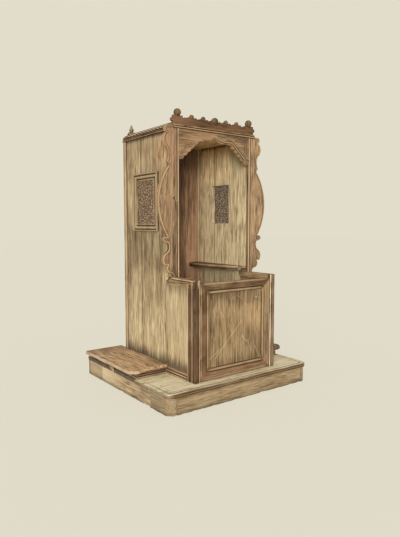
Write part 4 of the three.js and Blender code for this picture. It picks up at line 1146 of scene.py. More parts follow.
def planks(name, node, low, high, edges, grain, slot, colour, seed, stains_and_shade, joints=()):
    """Bars side by side between edges in X, each in wood of its own."""
    for number, (left, right) in enumerate(zip(edges[:-1], edges[1:])):
        plank_low, plank_high = (left + PLANK_GAP, *low[1:]), (right - PLANK_GAP, *high[1:])
        finish = old_wood(f"{name}_{number + 1}", colour, grain, seed + number, stains_and_shade, joints)
        grid = bar(plank_low, plank_high, grain, 2.0)
        piece(f"{name}_{number + 1}", [grid], finish, slot, stands_for=[node], seed=number)


def roof():
    """Planks from front to back, a moulded cornice round three sides and a finial on each rear corner."""
    low, high = span("roof_boards")
    edges = np.linspace(low[0], high[0], ROOF_PLANKS + 1)
    # the planks' top side is darkened, so that mostly their underside keeps the painted light
    exposed = (HIGH, high[2], high[2] - 12, 0.4, GRIME_AND_SHADE)
    planks("roof_plank", "roof_boards", low, high, edges, DEEP, "wood_tan", CEILING, 70, (exposed,))
    back_panel()
    cornice()
    finials()


def back_panel():
    """A lining, darker towards the top and the right and lit low down, with upright planks behind it."""
    low, high = span("back_panel")
    lining_y = (low[1] + high[1]) / 2
    joints = tuple((WIDE, place, 0.5) for place in BACK_JOINTS)
    washes = ((PAINTED_LIGHT_WASH, BACK_PAINTED_LIGHT),)
    finish = old_wood(
        "back_lining", BACK, HIGH, 76, BACK_SHADE, joints, washes, grey=0.1, rose=0.3, lively=0.45)
    grid = bar(low, (high[0], lining_y, high[2]), HIGH)
    cover("back_panel", "lining", grid, finish, "wood_brown")
    foot = (HIGH, DIRT_FOOT, DIRT_TOP, 0.5, GRIME_AND_SHADE)
    edges = (low[0], *BACK_JOINTS, high[0])
    low = (low[0], lining_y, low[2])
    planks("back_plank", "back_panel", low, high, edges, HIGH, "wood_brown", WALL, 86, (foot,), joints)


GADROON_PITCH = 49.0
GADROON_SLANT = 110.0
GADROON_MARGIN = 12.0
CORNICE_BANDS = ((0, 3, -1), (4, 9, 0.5), (10.5, 16.5, -1), (21.5, 28.5, -1))  # up from the walls' top


def cornice():
    """One moulding mitred round the corners: a bead, a fillet, a hollow and a slope in over the roof."""
    top = span("cornice_left")[1][2]
    roof_rear, roof_z = span("roof_boards")[1][1:]
    section = Outline(0, wall_top_z).line((8, wall_top_z)).arc((12, wall_top_z + 5), (8, wall_top_z + 10), 8)
    section.line((4, wall_top_z + 11), (4, wall_top_z + 16), (8, wall_top_z + 17), (10, roof_z - 4))
    section.line((6, roof_z - 3), (6, roof_z + 3), (9, roof_z + 4)).arc((1, roof_z + 16), (-18, top - 5), 8)
    section.line((-22, top), (-72, top), (-72, roof_z), (0, roof_z))
    u, v = soft(section.points, 0.8).T
    out = booth_x + u
    front = np.full_like(u, front_back_y)
    rear = roof_rear + u
    corners = np.stack([(-out, front, v), (-out, rear, v), (out, rear, v), (out, front, v)]).swapaxes(1, 2)
    t = np.linspace(0, 1, 10)[:, None, None]
    marks = banded(v - wall_top_z, CORNICE_BANDS) * (u > 0)
    for number, (name, grain) in enumerate((("left", DEEP), ("rear", WIDE), ("right", DEEP))):
        node = f"cornice_{name}"
        grid = corners[number] + (corners[number + 1] - corners[number]) * t
        finish = old_wood(node, CORNICE, grain, 80 + number, edge=RIM)
        cover(node, "moulded", grid, finish, "wood_brown", marks, uneven=0.4)
    cove = Outline(9, roof_z + 4).arc((1, roof_z + 16), (-18, top - 5), 9).points
    first, last = front_back_y + GADROON_MARGIN, roof_rear - GADROON_SLANT
    gadroons("left", cove, -booth_x * X, -X, Y, first, last)
    gadroons("right", cove, booth_x * X, X, Y, first, last)
    first, last = GADROON_MARGIN - booth_x, booth_x - GADROON_SLANT - GADROON_MARGIN
    gadroons("rear", cove, roof_rear * Y, Y, X, first, last)


def gadroons(name, cove, origin, outward, run, start, end):
    """Slanted ribs along the cornice's cove: each follows the cove up while it moves on along the run."""
    slant = np.linspace(0, GADROON_SLANT, len(cove))[:, None] * run
    line = origin + cove[:, :1] * outward + cove[:, 1:] * Z + slant
    section, marks = carved(9.5, 2.5)
    out = unit(outward + Z)
    places = np.arange(start, end, GADROON_PITCH)
    grids = [rib(line + place * run, section, out, 0.2) for place in places]
    finish = old_wood(f"gadroon_{name}", GADROON, HIGH, 88 + len(name), lively=0.6)
    piece(f"cornice_{name}_gadroons", grids, finish, "wood_brown", marks=[marks] * len(grids), uneven=0)


def finials():
    """A stepped foot, a ball and a small tip, turned as one."""
    profile = Outline(36, 0).line((35, 5), (30, 9), (24, 10), (24, 13), (28, 14), (28, 18), (18, 20))
    profile.line((9, 22.5)).arc((19.5, 40), (7, 56), 16).line((6, 58)).arc((9.5, 66), (3, 75), 8)
    profile.line((0.6, 85))
    for name, side in SIDES:
        node = f"finial_{name}"
        low, high = span(node)
        foot = ((low[0] + high[0]) / 2, (low[1] + high[1]) / 2, low[2])
        finish = old_wood(node, FINIAL, HIGH, 84 + side, edge=GADROON, grey=0.5)
        cover(node, "turned", placed(lathe(profile.points), foot, X, Y, Z), finish, "wood_brown", uneven=0,
              worn=0.2)


# Upper front

WING_BULGE = 134.0


def wing_outline(side):
    """The scrolled edge from the ledge to the top.

    Its points are given out from the booth's side, and up from the ledge or down from the top.
    """
    def up(out, height):
        return side * (booth_x + out), ledge_z + height

    def down(out, drop):
        return side * (booth_x + out), front_top_z - drop

    middle = (up(0, 303)[1] + down(0, 292)[1]) / 2
    edge = Outline(side * opening_x, front_top_z).line((side * opening_x, ledge_z), up(0, 0))
    edge.arc(up(12, 27), up(38, 37), 6).arc(up(60, 60), up(50, 97), 8).line(up(81, 96))
    edge.arc(up(95, 136), up(61, 189)).arc(up(41, 226), up(53, 262), 8)
    edge.arc(up(80, 266), up(97, 284), 6).arc(up(78, 304), up(53, 303), 6)
    edge.arc((side * (booth_x + WING_BULGE), middle), down(40, 292), 36)
    edge.arc(down(46, 279), down(58, 265), 4).arc(down(44, 216), down(56, 163))
    edge.arc(down(87, 110), down(60, 56), 8)
    return edge.arc(down(73, 30), down(49, 8), 6).arc(down(28, 9), down(11, 0), 5).points


ARCH_FOOT, ARCH_SHOULDER, ARCH_CUSP, ARCH_POINT = (330, 1776), (168, 1917), (85, 1924), (0, 1968)
ARCH_HALF = (ARCH_POINT, (26, 1936), ARCH_CUSP, (128, 1925), ARCH_SHOULDER, (249, 1846), ARCH_FOOT)
ARCH_SCALLOPS = 5
SCALLOP_DEPTH = 10.0


def scallops(edge, start, end, side):
    """Equal small lobes that stand down and in from the straight line between two points."""
    start, end = np.array(start, float), np.array(end, float)
    step = (end - start) / ARCH_SCALLOPS
    bulge = SCALLOP_DEPTH * unit(np.array([-abs(step[1]) * side, -abs(step[0])]))
    for number in range(ARCH_SCALLOPS):
        first = start + number * step
        edge.arc(first + step / 2 + bulge, first + step, 7)


def valance_outline():
    """Scalloped haunches, a shouldered arch and a pointed cusp in the middle, hung between the wings."""
    foot, shoulder, cusp = ARCH_FOOT, ARCH_SHOULDER, ARCH_CUSP
    edge = Outline(-opening_x, front_top_z).line((-opening_x, foot[1]), (-foot[0], foot[1]))
    scallops(edge, (-foot[0], foot[1]), (-shoulder[0], shoulder[1]), -1)
    edge.arc((-126.5, 1924), (-cusp[0], cusp[1])).arc((-28, 1935), ARCH_POINT).arc((28, 1935), cusp)
    edge.arc((126.5, 1924), shoulder)
    scallops(edge, shoulder, foot, 1)
    return edge.line((opening_x, foot[1]), (opening_x, front_top_z)).points


def upper_front():
    """Scrolled wings with rims and beads, an arched valance with carved ribs, a header and a crest."""
    for name, side in SIDES:
        node = f"wing_{name}"
        stains_and_shade = (
            (WIDE, side * opening_x, side * (opening_x + 70), 0.35, GRIME_AND_SHADE),
            (HIGH, ledge_z, ledge_z + 260, 0.3, GRIME_AND_SHADE),
        )
        finish = old_wood(node, WING[name], HIGH, 90 + side, stains_and_shade, grey=0.15, rose=0.5, lively=1.05)
        cover(node, "scrolled", upright(wing_outline(side)), finish, "wood_tan", uneven=0.4)
        wing_rim(name, side)
        stile_beads(name, side)
    stains_and_shade = ((HIGH, front_top_z, front_top_z - 75, 0.5, GRIME_AND_SHADE), (WIDE, opening_x, 0, 0.35, GRIME_AND_SHADE))
    finish = old_wood("valance", VALANCE, WIDE, 93, stains_and_shade, grey=0.1, rose=0.4, lively=0.75)
    cover("arch_valance", "carved", upright(valance_outline()), finish, "wood_tan")
    carved_ribs()
    header()
    crest()


RIM_FADE = (1690.0, 1760.0)  # heights over which the rim's edge, a painted highlight on the left wing, turns dull
RIM_DULL = 0.12


def wing_rim(name, side):
    """A half-round rim carried along the scrolled edge, with a groove on its inner side darkened as dirt and
    painted shade. The rim's edge colour is a painted highlight on the left wing and painted shade on the
    right.
    """
    ring = soft(wing_outline(side), 10.0, 6.0)
    edge = ring[np.abs(ring[:, 0]) > booth_x - 1]
    angle = np.linspace(np.pi, 0, 7)
    across = np.concatenate([[-5.5, -5.5], 5 * np.cos(angle), [6, 9, 9]])
    rise = np.concatenate([[SUNK, 0.5], 0.5 + 4.5 * np.sin(angle), [0.4, 0.4, SUNK]])
    bright = np.interp(edge[:, 1], RIM_FADE, (1.0, RIM_DULL))[:, None]
    marks = np.where(across > 5.5, -0.7, bright)
    finish = old_wood(f"wing_rim_{name}", WING[name], HIGH, 94 + side, edge=WING_EDGE[name])
    grid = rib(on_front(edge), np.stack([across, rise], 1), -Y, 0.02)
    piece(f"wing_rim_{name}", [grid], finish, "wood_tan", marks=[marks], uneven=0)


STILE_BANDS = ((0, 10, 1), (11, 19, -1))  # out from the opening


def stile_beads(name, side):
    """A half-round bead with a quirk beside it, down the stile at the opening."""
    section = Outline(0, 0).line((24, 0), (24, 1), (20, 2.5), (19, 0.6), (11, 0.6), (10, 2))
    section.arc((5, 6.5), (0, 2), 8)
    length = span("header_moulding")[0][2] - ledge_z
    grid, marks = moulded(section.points, along(length, 0.3), 0.5, STILE_BANDS, 0)
    grid = placed(grid, (side * (opening_x + 1), front_y, ledge_z), side * X, -Y, Z)
    finish = old_wood(f"stile_{name}", WING[name], HIGH, 95 + side, edge=RIM)
    piece(f"stile_beads_{name}", [grid], finish, "wood_tan", marks=[marks], uneven=0.3)


FRAME_LINES = ((1979.0, 6.0, 325.0), (1958.0, 190.0, 306.0))  # height, from, to
FRAME_FOOT = 1800.0
ARCH_STEPS = 90
ROPE_PITCH = 3.0  # points of the rope's path from one twist to the next
LEAVES = (  # side, place along the arch, length, distance from it
    (-1, 0.72, 46.0, 14.0),
    (-1, 0.80, 56.0, 22.0),
    (-1, 0.89, 50.0, 18.0),
    (1, 0.86, 58.0, 34.0),
    (1, 0.93, 50.0, 30.0),
)
LEAF_BEND = ((0, 0), (0.35, 0.22), (0.75, 0.25), (1, 0.05))


def carved_ribs():
    """Beads that follow the arch, a moulded frame round a spandrel, and a rope and leaves on the haunches.

    The arch's line is a smooth curve, and each rib follows a stretch of it at a distance.
    """
    ribs = []
    arch = {side: curve(np.array(ARCH_HALF) * (side, 1), ARCH_STEPS) for side in (-1, 1)}
    for height, start, end in FRAME_LINES:
        level = np.linspace((start, height), (end, height), 40)
        drop = np.linspace((end, height), (end, FRAME_FOOT), 40)[1:]
        ribs.append((np.vstack([level, drop]), 6.0, 3.5, 0.03))
    rope = offset(arch[1], 13.0)[2:87]
    twist = np.sin(2 * np.pi / ROPE_PITCH * np.arange(len(rope)))
    ribs.append((rope, 15.0 + 3.5 * twist, 8.0, 0.1))
    ribs.append((offset(arch[1], 31.0)[36:84], 7.0, 4.0, 0.1))
    ribs.append((offset(arch[-1], -8.0)[2:46], 7.0, 4.0, 0.2))
    for side, share, length, away in LEAVES:
        foot = offset(arch[side], side * away)[int((ARCH_STEPS - 1) * share)]
        bend = curve(LEAF_BEND, 16) * length
        leaf = foot + np.stack([side * bend[:, 0], bend[:, 1] - 0.8 * bend[:, 0]], 1)
        ribs.append((leaf, 12.0, 6.0, 0.5))
    grids, marks = [], []
    for line, width, height, taper in ribs:
        section, mark = carved(width, height)
        grids.append(rib(on_front(line), section, -Y, taper))
        marks.append(mark)
    finish = old_wood("carved", CARVING, WIDE, 98, edge=FRAME)
    piece("valance_carving", grids, finish, "wood_tan", marks=marks, uneven=0)


HEADER_BANDS = ((0, 4.5, -1), (5, 13, 0.9), (13.5, 18.5, -1))  # up from its lower edge


def header():
    """A moulding across the front under the crest: a fillet, a hollow and a bead."""
    low, high = span("header_moulding")
    length, depth, height = high - low
    fillet, bead = depth * 0.3, depth * 0.55
    section = Outline(0, 0).line((fillet, 0), (fillet, 4), (bead, 5)).arc((depth * 0.8, 9), (bead, 13), 7)
    section.line((fillet, 14), (fillet, 18), (depth - 1, 19), (depth, 21), (depth, height), (0, height))
    grid, marks = moulded(section.points, along(length, 0.6), 0.8, HEADER_BANDS, 1)
    grid = placed(grid, (low[0], high[1], low[2]), -Y, Z, X)
    finish = old_wood("header", VALANCE, WIDE, 100, edge=HEADER_EDGE)
    piece("header_moulded", [grid], finish, "wood_brown", "booth", ["header_moulding"], [marks], uneven=0.4)


CREST_BALLS = ((0, 28), (112, 18), (222, 18), (351, 28))  # place and radius
CENTRE_SINK = 14.0  # how far the middle ball is let down into its mound
OUTER_RISE = 10.0  # how far the outer balls' feet stand above the edge, in their plinths
LOBE_RADIUS = 15.0
MOUND_HEIGHT = 15.0
PETAL = ((26.0, 0.0), (15.0, 14.0), (4.0, 6.0))  # start, middle and end: out from the ball, up from the edge
PLINTH_HALF, PLINTH_HEIGHT = 42.0, 16.0
TOOTH_HALF, TOOTH_HEIGHT = 6.5, 8.0


def crest_outline(foot, top, balls):
    """The board's edge, with a lobe at each end.

    Square plinths carry the two outer balls and mounds between two petals the others. A small tooth stands in
    each gap between two of them.
    """
    halves = [radius + PETAL[0][0] for _, radius in balls]
    halves[0] = halves[-1] = PLINTH_HALF
    lobe_z, lobe_foot = top - LOBE_RADIUS, top - 2 * LOBE_RADIUS
    edge = Outline(booth_x, foot).line((-booth_x, foot), (-booth_x, lobe_foot))
    edge.arc((-booth_x - LOBE_RADIUS, lobe_z), (-booth_x, top), 8)
    for number, (x, radius) in enumerate(balls):
        if number in (0, len(balls) - 1):
            left, right = x - PLINTH_HALF, x + PLINTH_HALF
            edge.line((left, top), (left, top + PLINTH_HEIGHT), (right, top + PLINTH_HEIGHT), (right, top))
        else:
            crown = 0.8 * radius
            start, middle, end = np.array(PETAL) + (radius, top)
            edge.line((x - start[0], start[1])).arc((x - middle[0], middle[1]), (x - end[0], end[1]), 6)
            edge.line((x - crown, top + MOUND_HEIGHT), (x + crown, top + MOUND_HEIGHT), (x + end[0], end[1]))
            edge.arc((x + middle[0], middle[1]), (x + start[0], start[1]), 6)
        if number < len(balls) - 1:
            gap = (x + halves[number] + balls[number + 1][0] - halves[number + 1]) / 2
            edge.line((gap - TOOTH_HALF, top)).arc((gap, top + TOOTH_HEIGHT), (gap + TOOTH_HALF, top), 5)
    edge.line((booth_x, top)).arc((booth_x + LOBE_RADIUS, lobe_z), (booth_x, lobe_foot), 8)
    return edge.points


def crest():
    """A board cut to its outline, and seven turned balls on its edge."""
    low, high = span("crest")
    top = high[2] - 2 * CREST_BALLS[0][1]
    balls = sorted({(way * x, radius) for x, radius in CREST_BALLS for way in (-1, 1)})
    stains_and_shade = ((WIDE, -booth_x, -60, 0.35, ROSE),)
    finish = old_wood("crest", CREST, WIDE, 102, stains_and_shade, grey=0.1, rose=0.1)
    grid = upright(crest_outline(low[2], top, balls))
    cover("crest", "board", grid, finish, "wood_brown", uneven=0.4, worn=0.3)
    middle_y = (front_y + front_back_y) / 2
    lift = {0: -CENTRE_SINK, CREST_BALLS[-1][0]: OUTER_RISE}
    feet = [(x, middle_y, top + lift.get(abs(x), 0)) for x, _ in balls]
    grids = [placed(lathe(ball_profile(radius)), foot, X, Y, Z) for foot, (_, radius) in zip(feet, balls)]
    finish = old_wood("crest_ball", BALL, HIGH, 105, grey=0.0, rose=0.3)
    piece("crest_balls", grids, finish, "wood_brown", uneven=0, worn=0.0)


def ball_profile(radius):
    """A short neck and a ball: the ball's outline is a circle from the neck to its top."""
    angle = np.linspace(math.radians(-52), math.pi / 2 - 0.03, 16)
    ball = np.stack([radius * np.cos(angle), radius + radius * np.sin(angle)], 1)
    neck = ball[0] * (1.05, 0.6)
    return np.vstack([[(0.75 * radius, 0.5), (0.75 * radius, neck[1] * 0.8), neck], ball])


# Inside

ARM_EDGE = (
    (7, 0), (2, 1), (0, 4), (0, 10), (5, 11.5), (5, 15.5), (1.5, 17), (0, 22), (0, 31), (1.5, 35), (5, 37.6),
    (10, 38),
)
ARM_BANDS = ((0, 2, -1), (11, 16, -1), (29, 37, 1))
ARM_END = 45.0  # width of the shelf's front end
ARM_NECK, ARM_NOSE = 66.0, 110.0  # back from the front end, where the shelf begins to widen and to bow
VOLUTE_RADIUS = 21.0


def arm_shelves():
    """A bowed shelf with a moulded edge along each side wall, and a volute carved on its front end."""
    for name, side in SIDES:
        node = f"arm_shelf_{name}"
        low, high = span(node)
        neck_y, nose_y = low[1] + ARM_NECK, low[1] + ARM_NOSE

        def at(width, y):
            return side * (inner_x - width), y

        plan = Outline(*at(0, low[1])).line(at(0, high[1]), at(110, high[1]))
        plan.arc(at(150, (high[1] + nose_y) / 2), at(88, nose_y), 30)
        plan.arc(at(77, (neck_y + nose_y) / 2), at(ARM_END, neck_y)).line(at(ARM_END, low[1]))
        grid, marks = moulded(plan.points, ARM_EDGE, 3.0, ARM_BANDS, 2)
        grid = placed(grid, low[2] * Z, X, Y, Z)
        finish = old_wood(node, ARM, DEEP, 106 + side, edge=RIM)
        cover(node, "moulded", grid, finish, "wood_brown", marks, uneven=0.4)
        scroll = spiral((neck_y - 18, (low[2] + high[2]) / 2), VOLUTE_RADIUS, 1.75, math.pi / 2)
        path = np.stack([np.full(len(scroll), at(ARM_END, 0)[0]), *scroll.T], 1)
        section, marks = carved(8.0, 6.0)
        finish = old_wood(f"volute_{name}", WALL, DEEP, 108 + side)
        grid = rib(path, section, -side * X, 0.1)
        piece(f"arm_volute_{name}", [grid], finish, "wood_brown", marks=[marks], uneven=0)


BEAD_BANDS = ((0, 18, 1), (19, 26, -1), (27, 41, 0.6))  # forward from the corner


def corner_beads():
    """Two beads with a quirk between them up each rear corner inside, above and below the arm shelf."""
    shelf_low, shelf_high = span("arm_shelf_right")
    seat_z = span("seat_board")[1][2]
    section = Outline(0, 0).line((44, 0), (44, 3)).arc((35, 9), (27, 3), 7)
    section.line((26, 1.5), (19, 1.5), (18, 4)).arc((9, 12), (0, 4), 8)
    for name, side in SIDES:
        finish = old_wood(f"corner_bead_{name}", FRAME, HIGH, 115 + side, edge=WALL_INSIDE)
        grids, marks = [], []
        for low_z, high_z in ((seat_z, shelf_low[2]), (shelf_high[2], wall_top_z)):
            grid, mark = moulded(section.points, along(high_z - low_z, 0.4), 0.6, BEAD_BANDS, 0)
            grids.append(placed(grid, (side * inner_x, back_y, low_z), -Y, -side * X, Z))
            marks.append(mark)
        piece(f"corner_bead_{name}", grids, finish, "wood_tan", marks=marks, uneven=0.3)


def bench():
    """A seat board on a front panel and a cleat."""
    for number, node in enumerate(("seat_board", "seat_front", "seat_cleat")):
        finish = old_wood(node, BACK, WIDE, 110 + number)
        cover(node, "plank", bar(*span(node), WIDE), finish, "wood_brown", seed=number)


# Half door

DOOR_MEMBER = 80.0
DOOR_GROOVE = (5.7, 16.3)  # panel groove, forward from the door's back
TONGUE = 9.0
DOOR_BANDS = ((0, 8, 1), (52, 59, -1), (60, 75, 1), (76.5, 80, -1))  # in from the member's outer edge


def door_section(thickness):
    """In from the member's outer edge and forward from the door's back: a flat, a bead between quirks."""
    low, high = DOOR_GROOVE
    inner = DOOR_MEMBER - TONGUE - 0.3
    quirk, bead = thickness - 8, thickness - 4
    section = Outline(0, 0).line((0, thickness - 2), (2, thickness), (8, thickness), (11, thickness))
    section.line((51, thickness), (52, quirk), (59, quirk), (60, bead))
    section.arc((67.5, thickness - 1), (75, bead), 7).line((76.5, high + 4), (DOOR_MEMBER, high + 3))
    section.line((DOOR_MEMBER, high), (inner, high), (inner, low), (DOOR_MEMBER, low), (DOOR_MEMBER, 0))
    return soft(section.points, 0.8)


def door():
    """Four mitred members round a scratched panel."""
    left = span("door_stile_left")[0]
    right = span("door_stile_right")[1]
    back = right[1]
    low_z, high_z = span("door_rail_bottom")[0][2], span("door_rail_top")[1][2]
    section = door_section(back - left[1])
    marks = banded(section[:, 0], DOOR_BANDS) * (section[:, 1] > DOOR_GROOVE[1] + 1)
    upright_run, level_run = mitred(section, low_z, high_z), mitred(section, left[0], right[0])
    members = (
        ("stile_left", placed(upright_run, (left[0], back, 0), X, -Y, Z), HIGH),
        ("stile_right", placed(upright_run, (right[0], back, 0), -X, -Y, Z), HIGH),
        ("rail_top", placed(level_run, (0, back, high_z), -Z, -Y, X), WIDE),
        ("rail_bottom", placed(level_run, (0, back, low_z), Z, -Y, X), WIDE),
    )
    for seed, (name, grid, grain) in enumerate(members, 120):
        node = f"door_{name}"
        finish = old_wood(node, DOOR_FRAME[name], grain, seed, edge=DOOR_EDGE, rose=0.4, lively=0.8)
        cover(node, "moulded", grid, finish, "wood_brown", marks, "door", uneven=0.3)
    door_panel()


SCRATCHES = 44
SCRATCH_HALF = 2.4
SHORT_SCRATCH, LONG_SCRATCH = 0.18, 0.5  # how pale they are
SCRATCH_STEP = 3.0  # spacing of the panel's points
LONG_SCRATCHES = (  # from and to, as shares of the panel's width and height
    ((0.13, 0.12), (0.63, 0.59)),
    ((0.87, 0.20), (0.96, 0.03)),
    ((0.23, 0.73), (0.29, 0.65)),
    ((0.62, 0.37), (0.72, 0.27)),
    ((0.05, 0.13), (0.22, 0.24)),
)


def scratched_lines(size):
    """Where each scratch starts and the step to its end: short ones are seeded, long ones are given."""
    draw = np.random.default_rng(5)
    middle = draw.uniform(0.06, 0.94, (SCRATCHES, 2)) * size
    slant = np.where(draw.uniform(size=SCRATCHES) < 0.6, 1.1, 2.2) + draw.normal(size=SCRATCHES) * 0.25
    half = draw.uniform(12, 50, SCRATCHES)[:, None] * np.stack([np.cos(slant), np.sin(slant)], 1)
    long_start, long_end = np.moveaxis(np.array(LONG_SCRATCHES) * size, 1, 0)
    return np.concatenate([middle - half, long_start]), np.concatenate([2 * half, long_end - long_start])


def panel_washes(left, right, foot, top):
    """Darker along the top, the foot and the left edge, and a painted highlight at the upper right."""
    painted_highlight = (
        (WIDE, right - 100, right - 220, 0.6),
        (HIGH, top - 160, top - 80, 1.0),
        (HIGH, top - 250, top - 350, 1.0),
    )
    return (
        (DARKER_WASH, ((HIGH, top, top - 150, 1.0), (WIDE, right - 100, right - 40, 1.0))),
        (DARKER_WASH, ((HIGH, foot, foot + 90, 0.6), (WIDE, left + 110, left + 40, 1.0))),
        (PAINTED_LIGHT_WASH, painted_highlight),
        (DARKER_WASH, ((WIDE, left + 10, left + 50, 0.8),)),
    )


def door_panel():
    """A dense sheet with scratches: a point is scratched where it lies close to one of the lines."""
    low, high = span("door_panel")
    size = (high - low)[[0, 2]]
    columns, rows = (size / SCRATCH_STEP).astype(int)
    x, z = np.meshgrid(np.linspace(low[0], high[0], columns), np.linspace(low[2], high[2], rows))
    start, line = scratched_lines(size)
    off = np.stack([x - low[0], z - low[2]], -1)[..., None, :] - start
    share = np.clip((off * line).sum(-1) / (line ** 2).sum(-1), 0, 1)
    away = np.linalg.norm(off - share[..., None] * line, axis=-1)
    depth = np.repeat((SHORT_SCRATCH, LONG_SCRATCH), (SCRATCHES, len(LONG_SCRATCHES)))
    marks = (depth * np.clip(1.4 - away / SCRATCH_HALF, 0, 1)).max(-1)
    y = low[1] + 0.5 * marks + 0.4 * np.sin(x / 90) * np.sin(z / 70)
    washes = panel_washes(low[0], high[0], low[2], high[2])
    finish = old_wood(
        "door_panel", DOOR_PANEL, HIGH, 126, washes=washes, scratched=True, grey=0.25, lively=0.85)
    keep = np.ones((rows - 1, columns - 1), bool)
    thickness = high[1] - low[1] - 1
    sheet("door_panel_scratched", np.dstack([x, y, z]), keep, thickness, finish, "door",
          ["door_panel"], marks)


# Latch, hinges and small ironwork

def latch():
    """A turned knob on its rose, and the bar that it turns behind the door."""
    low, high = span("latch_knob")
    middle = (low + high) / 2
    profile = Outline(0.5, 0).arc((9, 2), (13.6, 9), 8).arc((12, 17), (6.5, 21), 6)
    profile.line((6, 27), (8, 29), (15, 30), (16, 32), (15.5, 34), (4, 34.2), (4, high[1] - low[1]))
    grid = placed(lathe(profile.points, 24), (middle[0], low[1], middle[2]), X, Z, Y)
    cover("latch_knob", "turned", grid, highlit_iron, "iron", body="latch", uneven=0)
    low, high = span("latch_bar")
    shoulder = high[2] - 20
    plan = Outline(low[0], shoulder).arc(((low[0] + high[0]) / 2, high[2]), (high[0], shoulder), 12)
    plan.line((high[0], low[2]), (low[0], low[2]))
    grid = placed(stacked(plan.points, along(high[1] - low[1], 1.2), 2.0), low[1] * Y, X, Z, Y)
    finish = old_wood("latch_bar", DOOR_FRAME["rail_top"], HIGH, 128)
    cover("latch_bar", "worn", grid, finish, "wood_brown", body="latch", uneven=0)


def hinges():
    """The hinge leaves keep their solid shape and get a rusted finish."""
    for place in ("lower", "upper"):
        for leaf in ("fixed", "door"):
            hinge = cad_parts[f"hinge_{place}_{leaf}_leaf"]
            hinge.data.materials.clear()
            hinge.data.materials.append(rusted)


NAIL_HEAD = ((4.2, -0.5), (4.2, 0.8), (3.4, 1.8), (1.8, 2.4), (0.3, 2.6))
WALL_NAILS = ((388, 656), (157, 660), (-102, 667))
DECK_NAILS = ((609, -418), (619, -505))
WING_NAILS = ((496, 1520), (462, 1510), (435, 1529))


def nails():
    """Forged nail heads, low domes, across the walls, on the wings and in the deck."""
    head = lathe(NAIL_HEAD, 10)
    grids = []
    for side in (-1, 1):
        grids += [placed(head, (side * booth_x, y, z), Y, Z, side * X) for y, z in WALL_NAILS]
        grids += [placed(head, (side * x, y, deck_z), X, Y, Z) for x, y in DECK_NAILS]
        grids += [placed(head, (side * x, front_y, z), X, Z, -Y) for x, z in WING_NAILS]
    piece("nail_heads", grids, iron, "iron", uneven=0)


HOOK_PLACE = (-388.0, 1487.0)
HOOK_ROSE = ((11, -0.5), (11, 1.5), (8, 3), (0.5, 3.5))
HOOK_LINE = ((0, 0), (10, 0), (19, -5), (22, -16), (27, -24), (35, -22), (37, -13))  # out and up
HOOK_STEPS = 40


def hook():
    """A small iron hook on the left wing: a rose, and a tapering rod that runs out, down and up again."""
    x, z = HOOK_PLACE
    rose = placed(lathe(HOOK_ROSE, 20), (x, front_y, z), X, Z, -Y)
    line = curve(HOOK_LINE, HOOK_STEPS)
    path = np.stack([np.full(HOOK_STEPS, x), front_y - line[:, 0], z + line[:, 1]], 1)
    section = rod(1.0, 0.5) * np.linspace(7.0, 4.0, HOOK_STEPS)[:, None, None]
    piece("wing_hook_rose", [rose], iron, "iron", uneven=0)
    piece("wing_hook", [rib(path, section, X, 0.05)], highlit_iron, "iron", uneven=0)


# Stage

PAPER = shade(226, 221, 202)
EYE = (-2.456, -3.3315, 1.29)
YAW, PITCH = math.radians(36.983), math.radians(5.022)
IMAGE_HEIGHT = 537
FOCAL_PIXELS = 496.2
SENSOR = 36.0


def camera():
    """The camera stands in front and to the left, a little above the ledge."""
    data = bpy.data.cameras.new("camera")
    data.sensor_width = SENSOR
    data.lens = FOCAL_PIXELS * SENSOR / IMAGE_HEIGHT
    made = bpy.data.objects.new("camera", data)
    made.location = EYE
    made.rotation_euler = (math.pi / 2 - PITCH, 0, -YAW)
    bpy.context.scene.collection.objects.link(made)
    bpy.context.scene.camera = made


FLOOR_REACH = 40.0
FLOOR_SINK = 0.0006  # metres under the platform's foot
FLOOR_PAPER = shade(244, 239, 219)
FLOOR_GLOW = 0.8  # share of the floor's own colour that shading leaves alone


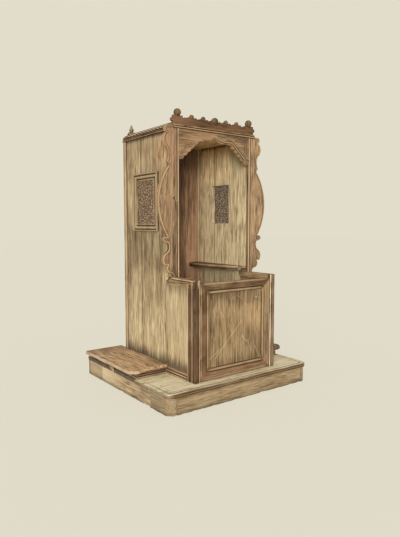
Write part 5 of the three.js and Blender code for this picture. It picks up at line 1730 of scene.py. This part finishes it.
def floor():
    """A wide pale floor that keeps a faint shadow under the booth."""
    reach = np.linspace(-FLOOR_REACH, FLOOR_REACH, 3)
    x, y = np.meshgrid(reach, reach)
    points = np.stack([x, y, np.full_like(x, -FLOOR_SINK)], -1).reshape(-1, 3)
    mesh = bpy.data.meshes.new("floor")
    mesh.from_pydata(points, [], cells_of(3, 3).reshape(-1, 4).tolist())
    paper = Recipe(bpy.data.materials.new("paper_floor"))
    shader = paper.tree.nodes["Principled BSDF"]
    paper.feed(shader, {"Base Color": FLOOR_PAPER, "Roughness": 1.0})
    glow = paper.add("Emission", {"Color": PAPER})
    paper.blend(paper.times(paper.seen(), FLOOR_GLOW), shader.outputs[0], glow, "Material Output")
    mesh.materials.append(paper.owner)
    made = bpy.data.objects.new("floor", mesh)
    bpy.context.scene.collection.objects.link(made)


SKY_LIGHT = 0.6
SKY_COLOUR = (1.0, 0.985, 0.96, 1.0)
LAMPS = (  # name, strength, softness in degrees, way that the light travels
    ("window", 0.6, 20, (0.64, 0.50, -0.58)),
    ("front_fill", 2.0, 24, (0.63, 0.77, -0.12)),
)


def light():
    """An even sky, a soft lamp from the left and above, and a softer one from the front that reaches in."""
    world = Recipe(bpy.data.worlds.new("studio"))
    bpy.context.scene.world = world.owner
    sky = world.tree.nodes["Background"]
    world.feed(sky, {"Color": SKY_COLOUR, "Strength": SKY_LIGHT})
    paper = world.add("Background", {"Color": PAPER})
    world.blend(world.seen(), sky.outputs[0], paper, "World Output")
    for name, strength, softness, (x, y, z) in LAMPS:
        lamp = bpy.data.lights.new(name, "SUN")
        lamp.energy = strength
        lamp.angle = math.radians(softness)
        made = bpy.data.objects.new(name, lamp)
        made.rotation_euler = (math.atan2(math.hypot(x, y), -z), 0, math.atan2(-x, y))
        bpy.context.scene.collection.objects.link(made)


camera()
light()
floor()
platform()
kneelers()
side_walls()
grilles()
roof()
upper_front()
arm_shelves()
bench()
corner_beads()
door()
latch()
hinges()
nails()
hook()

bpy.context.scene.view_settings.view_transform = "Standard"
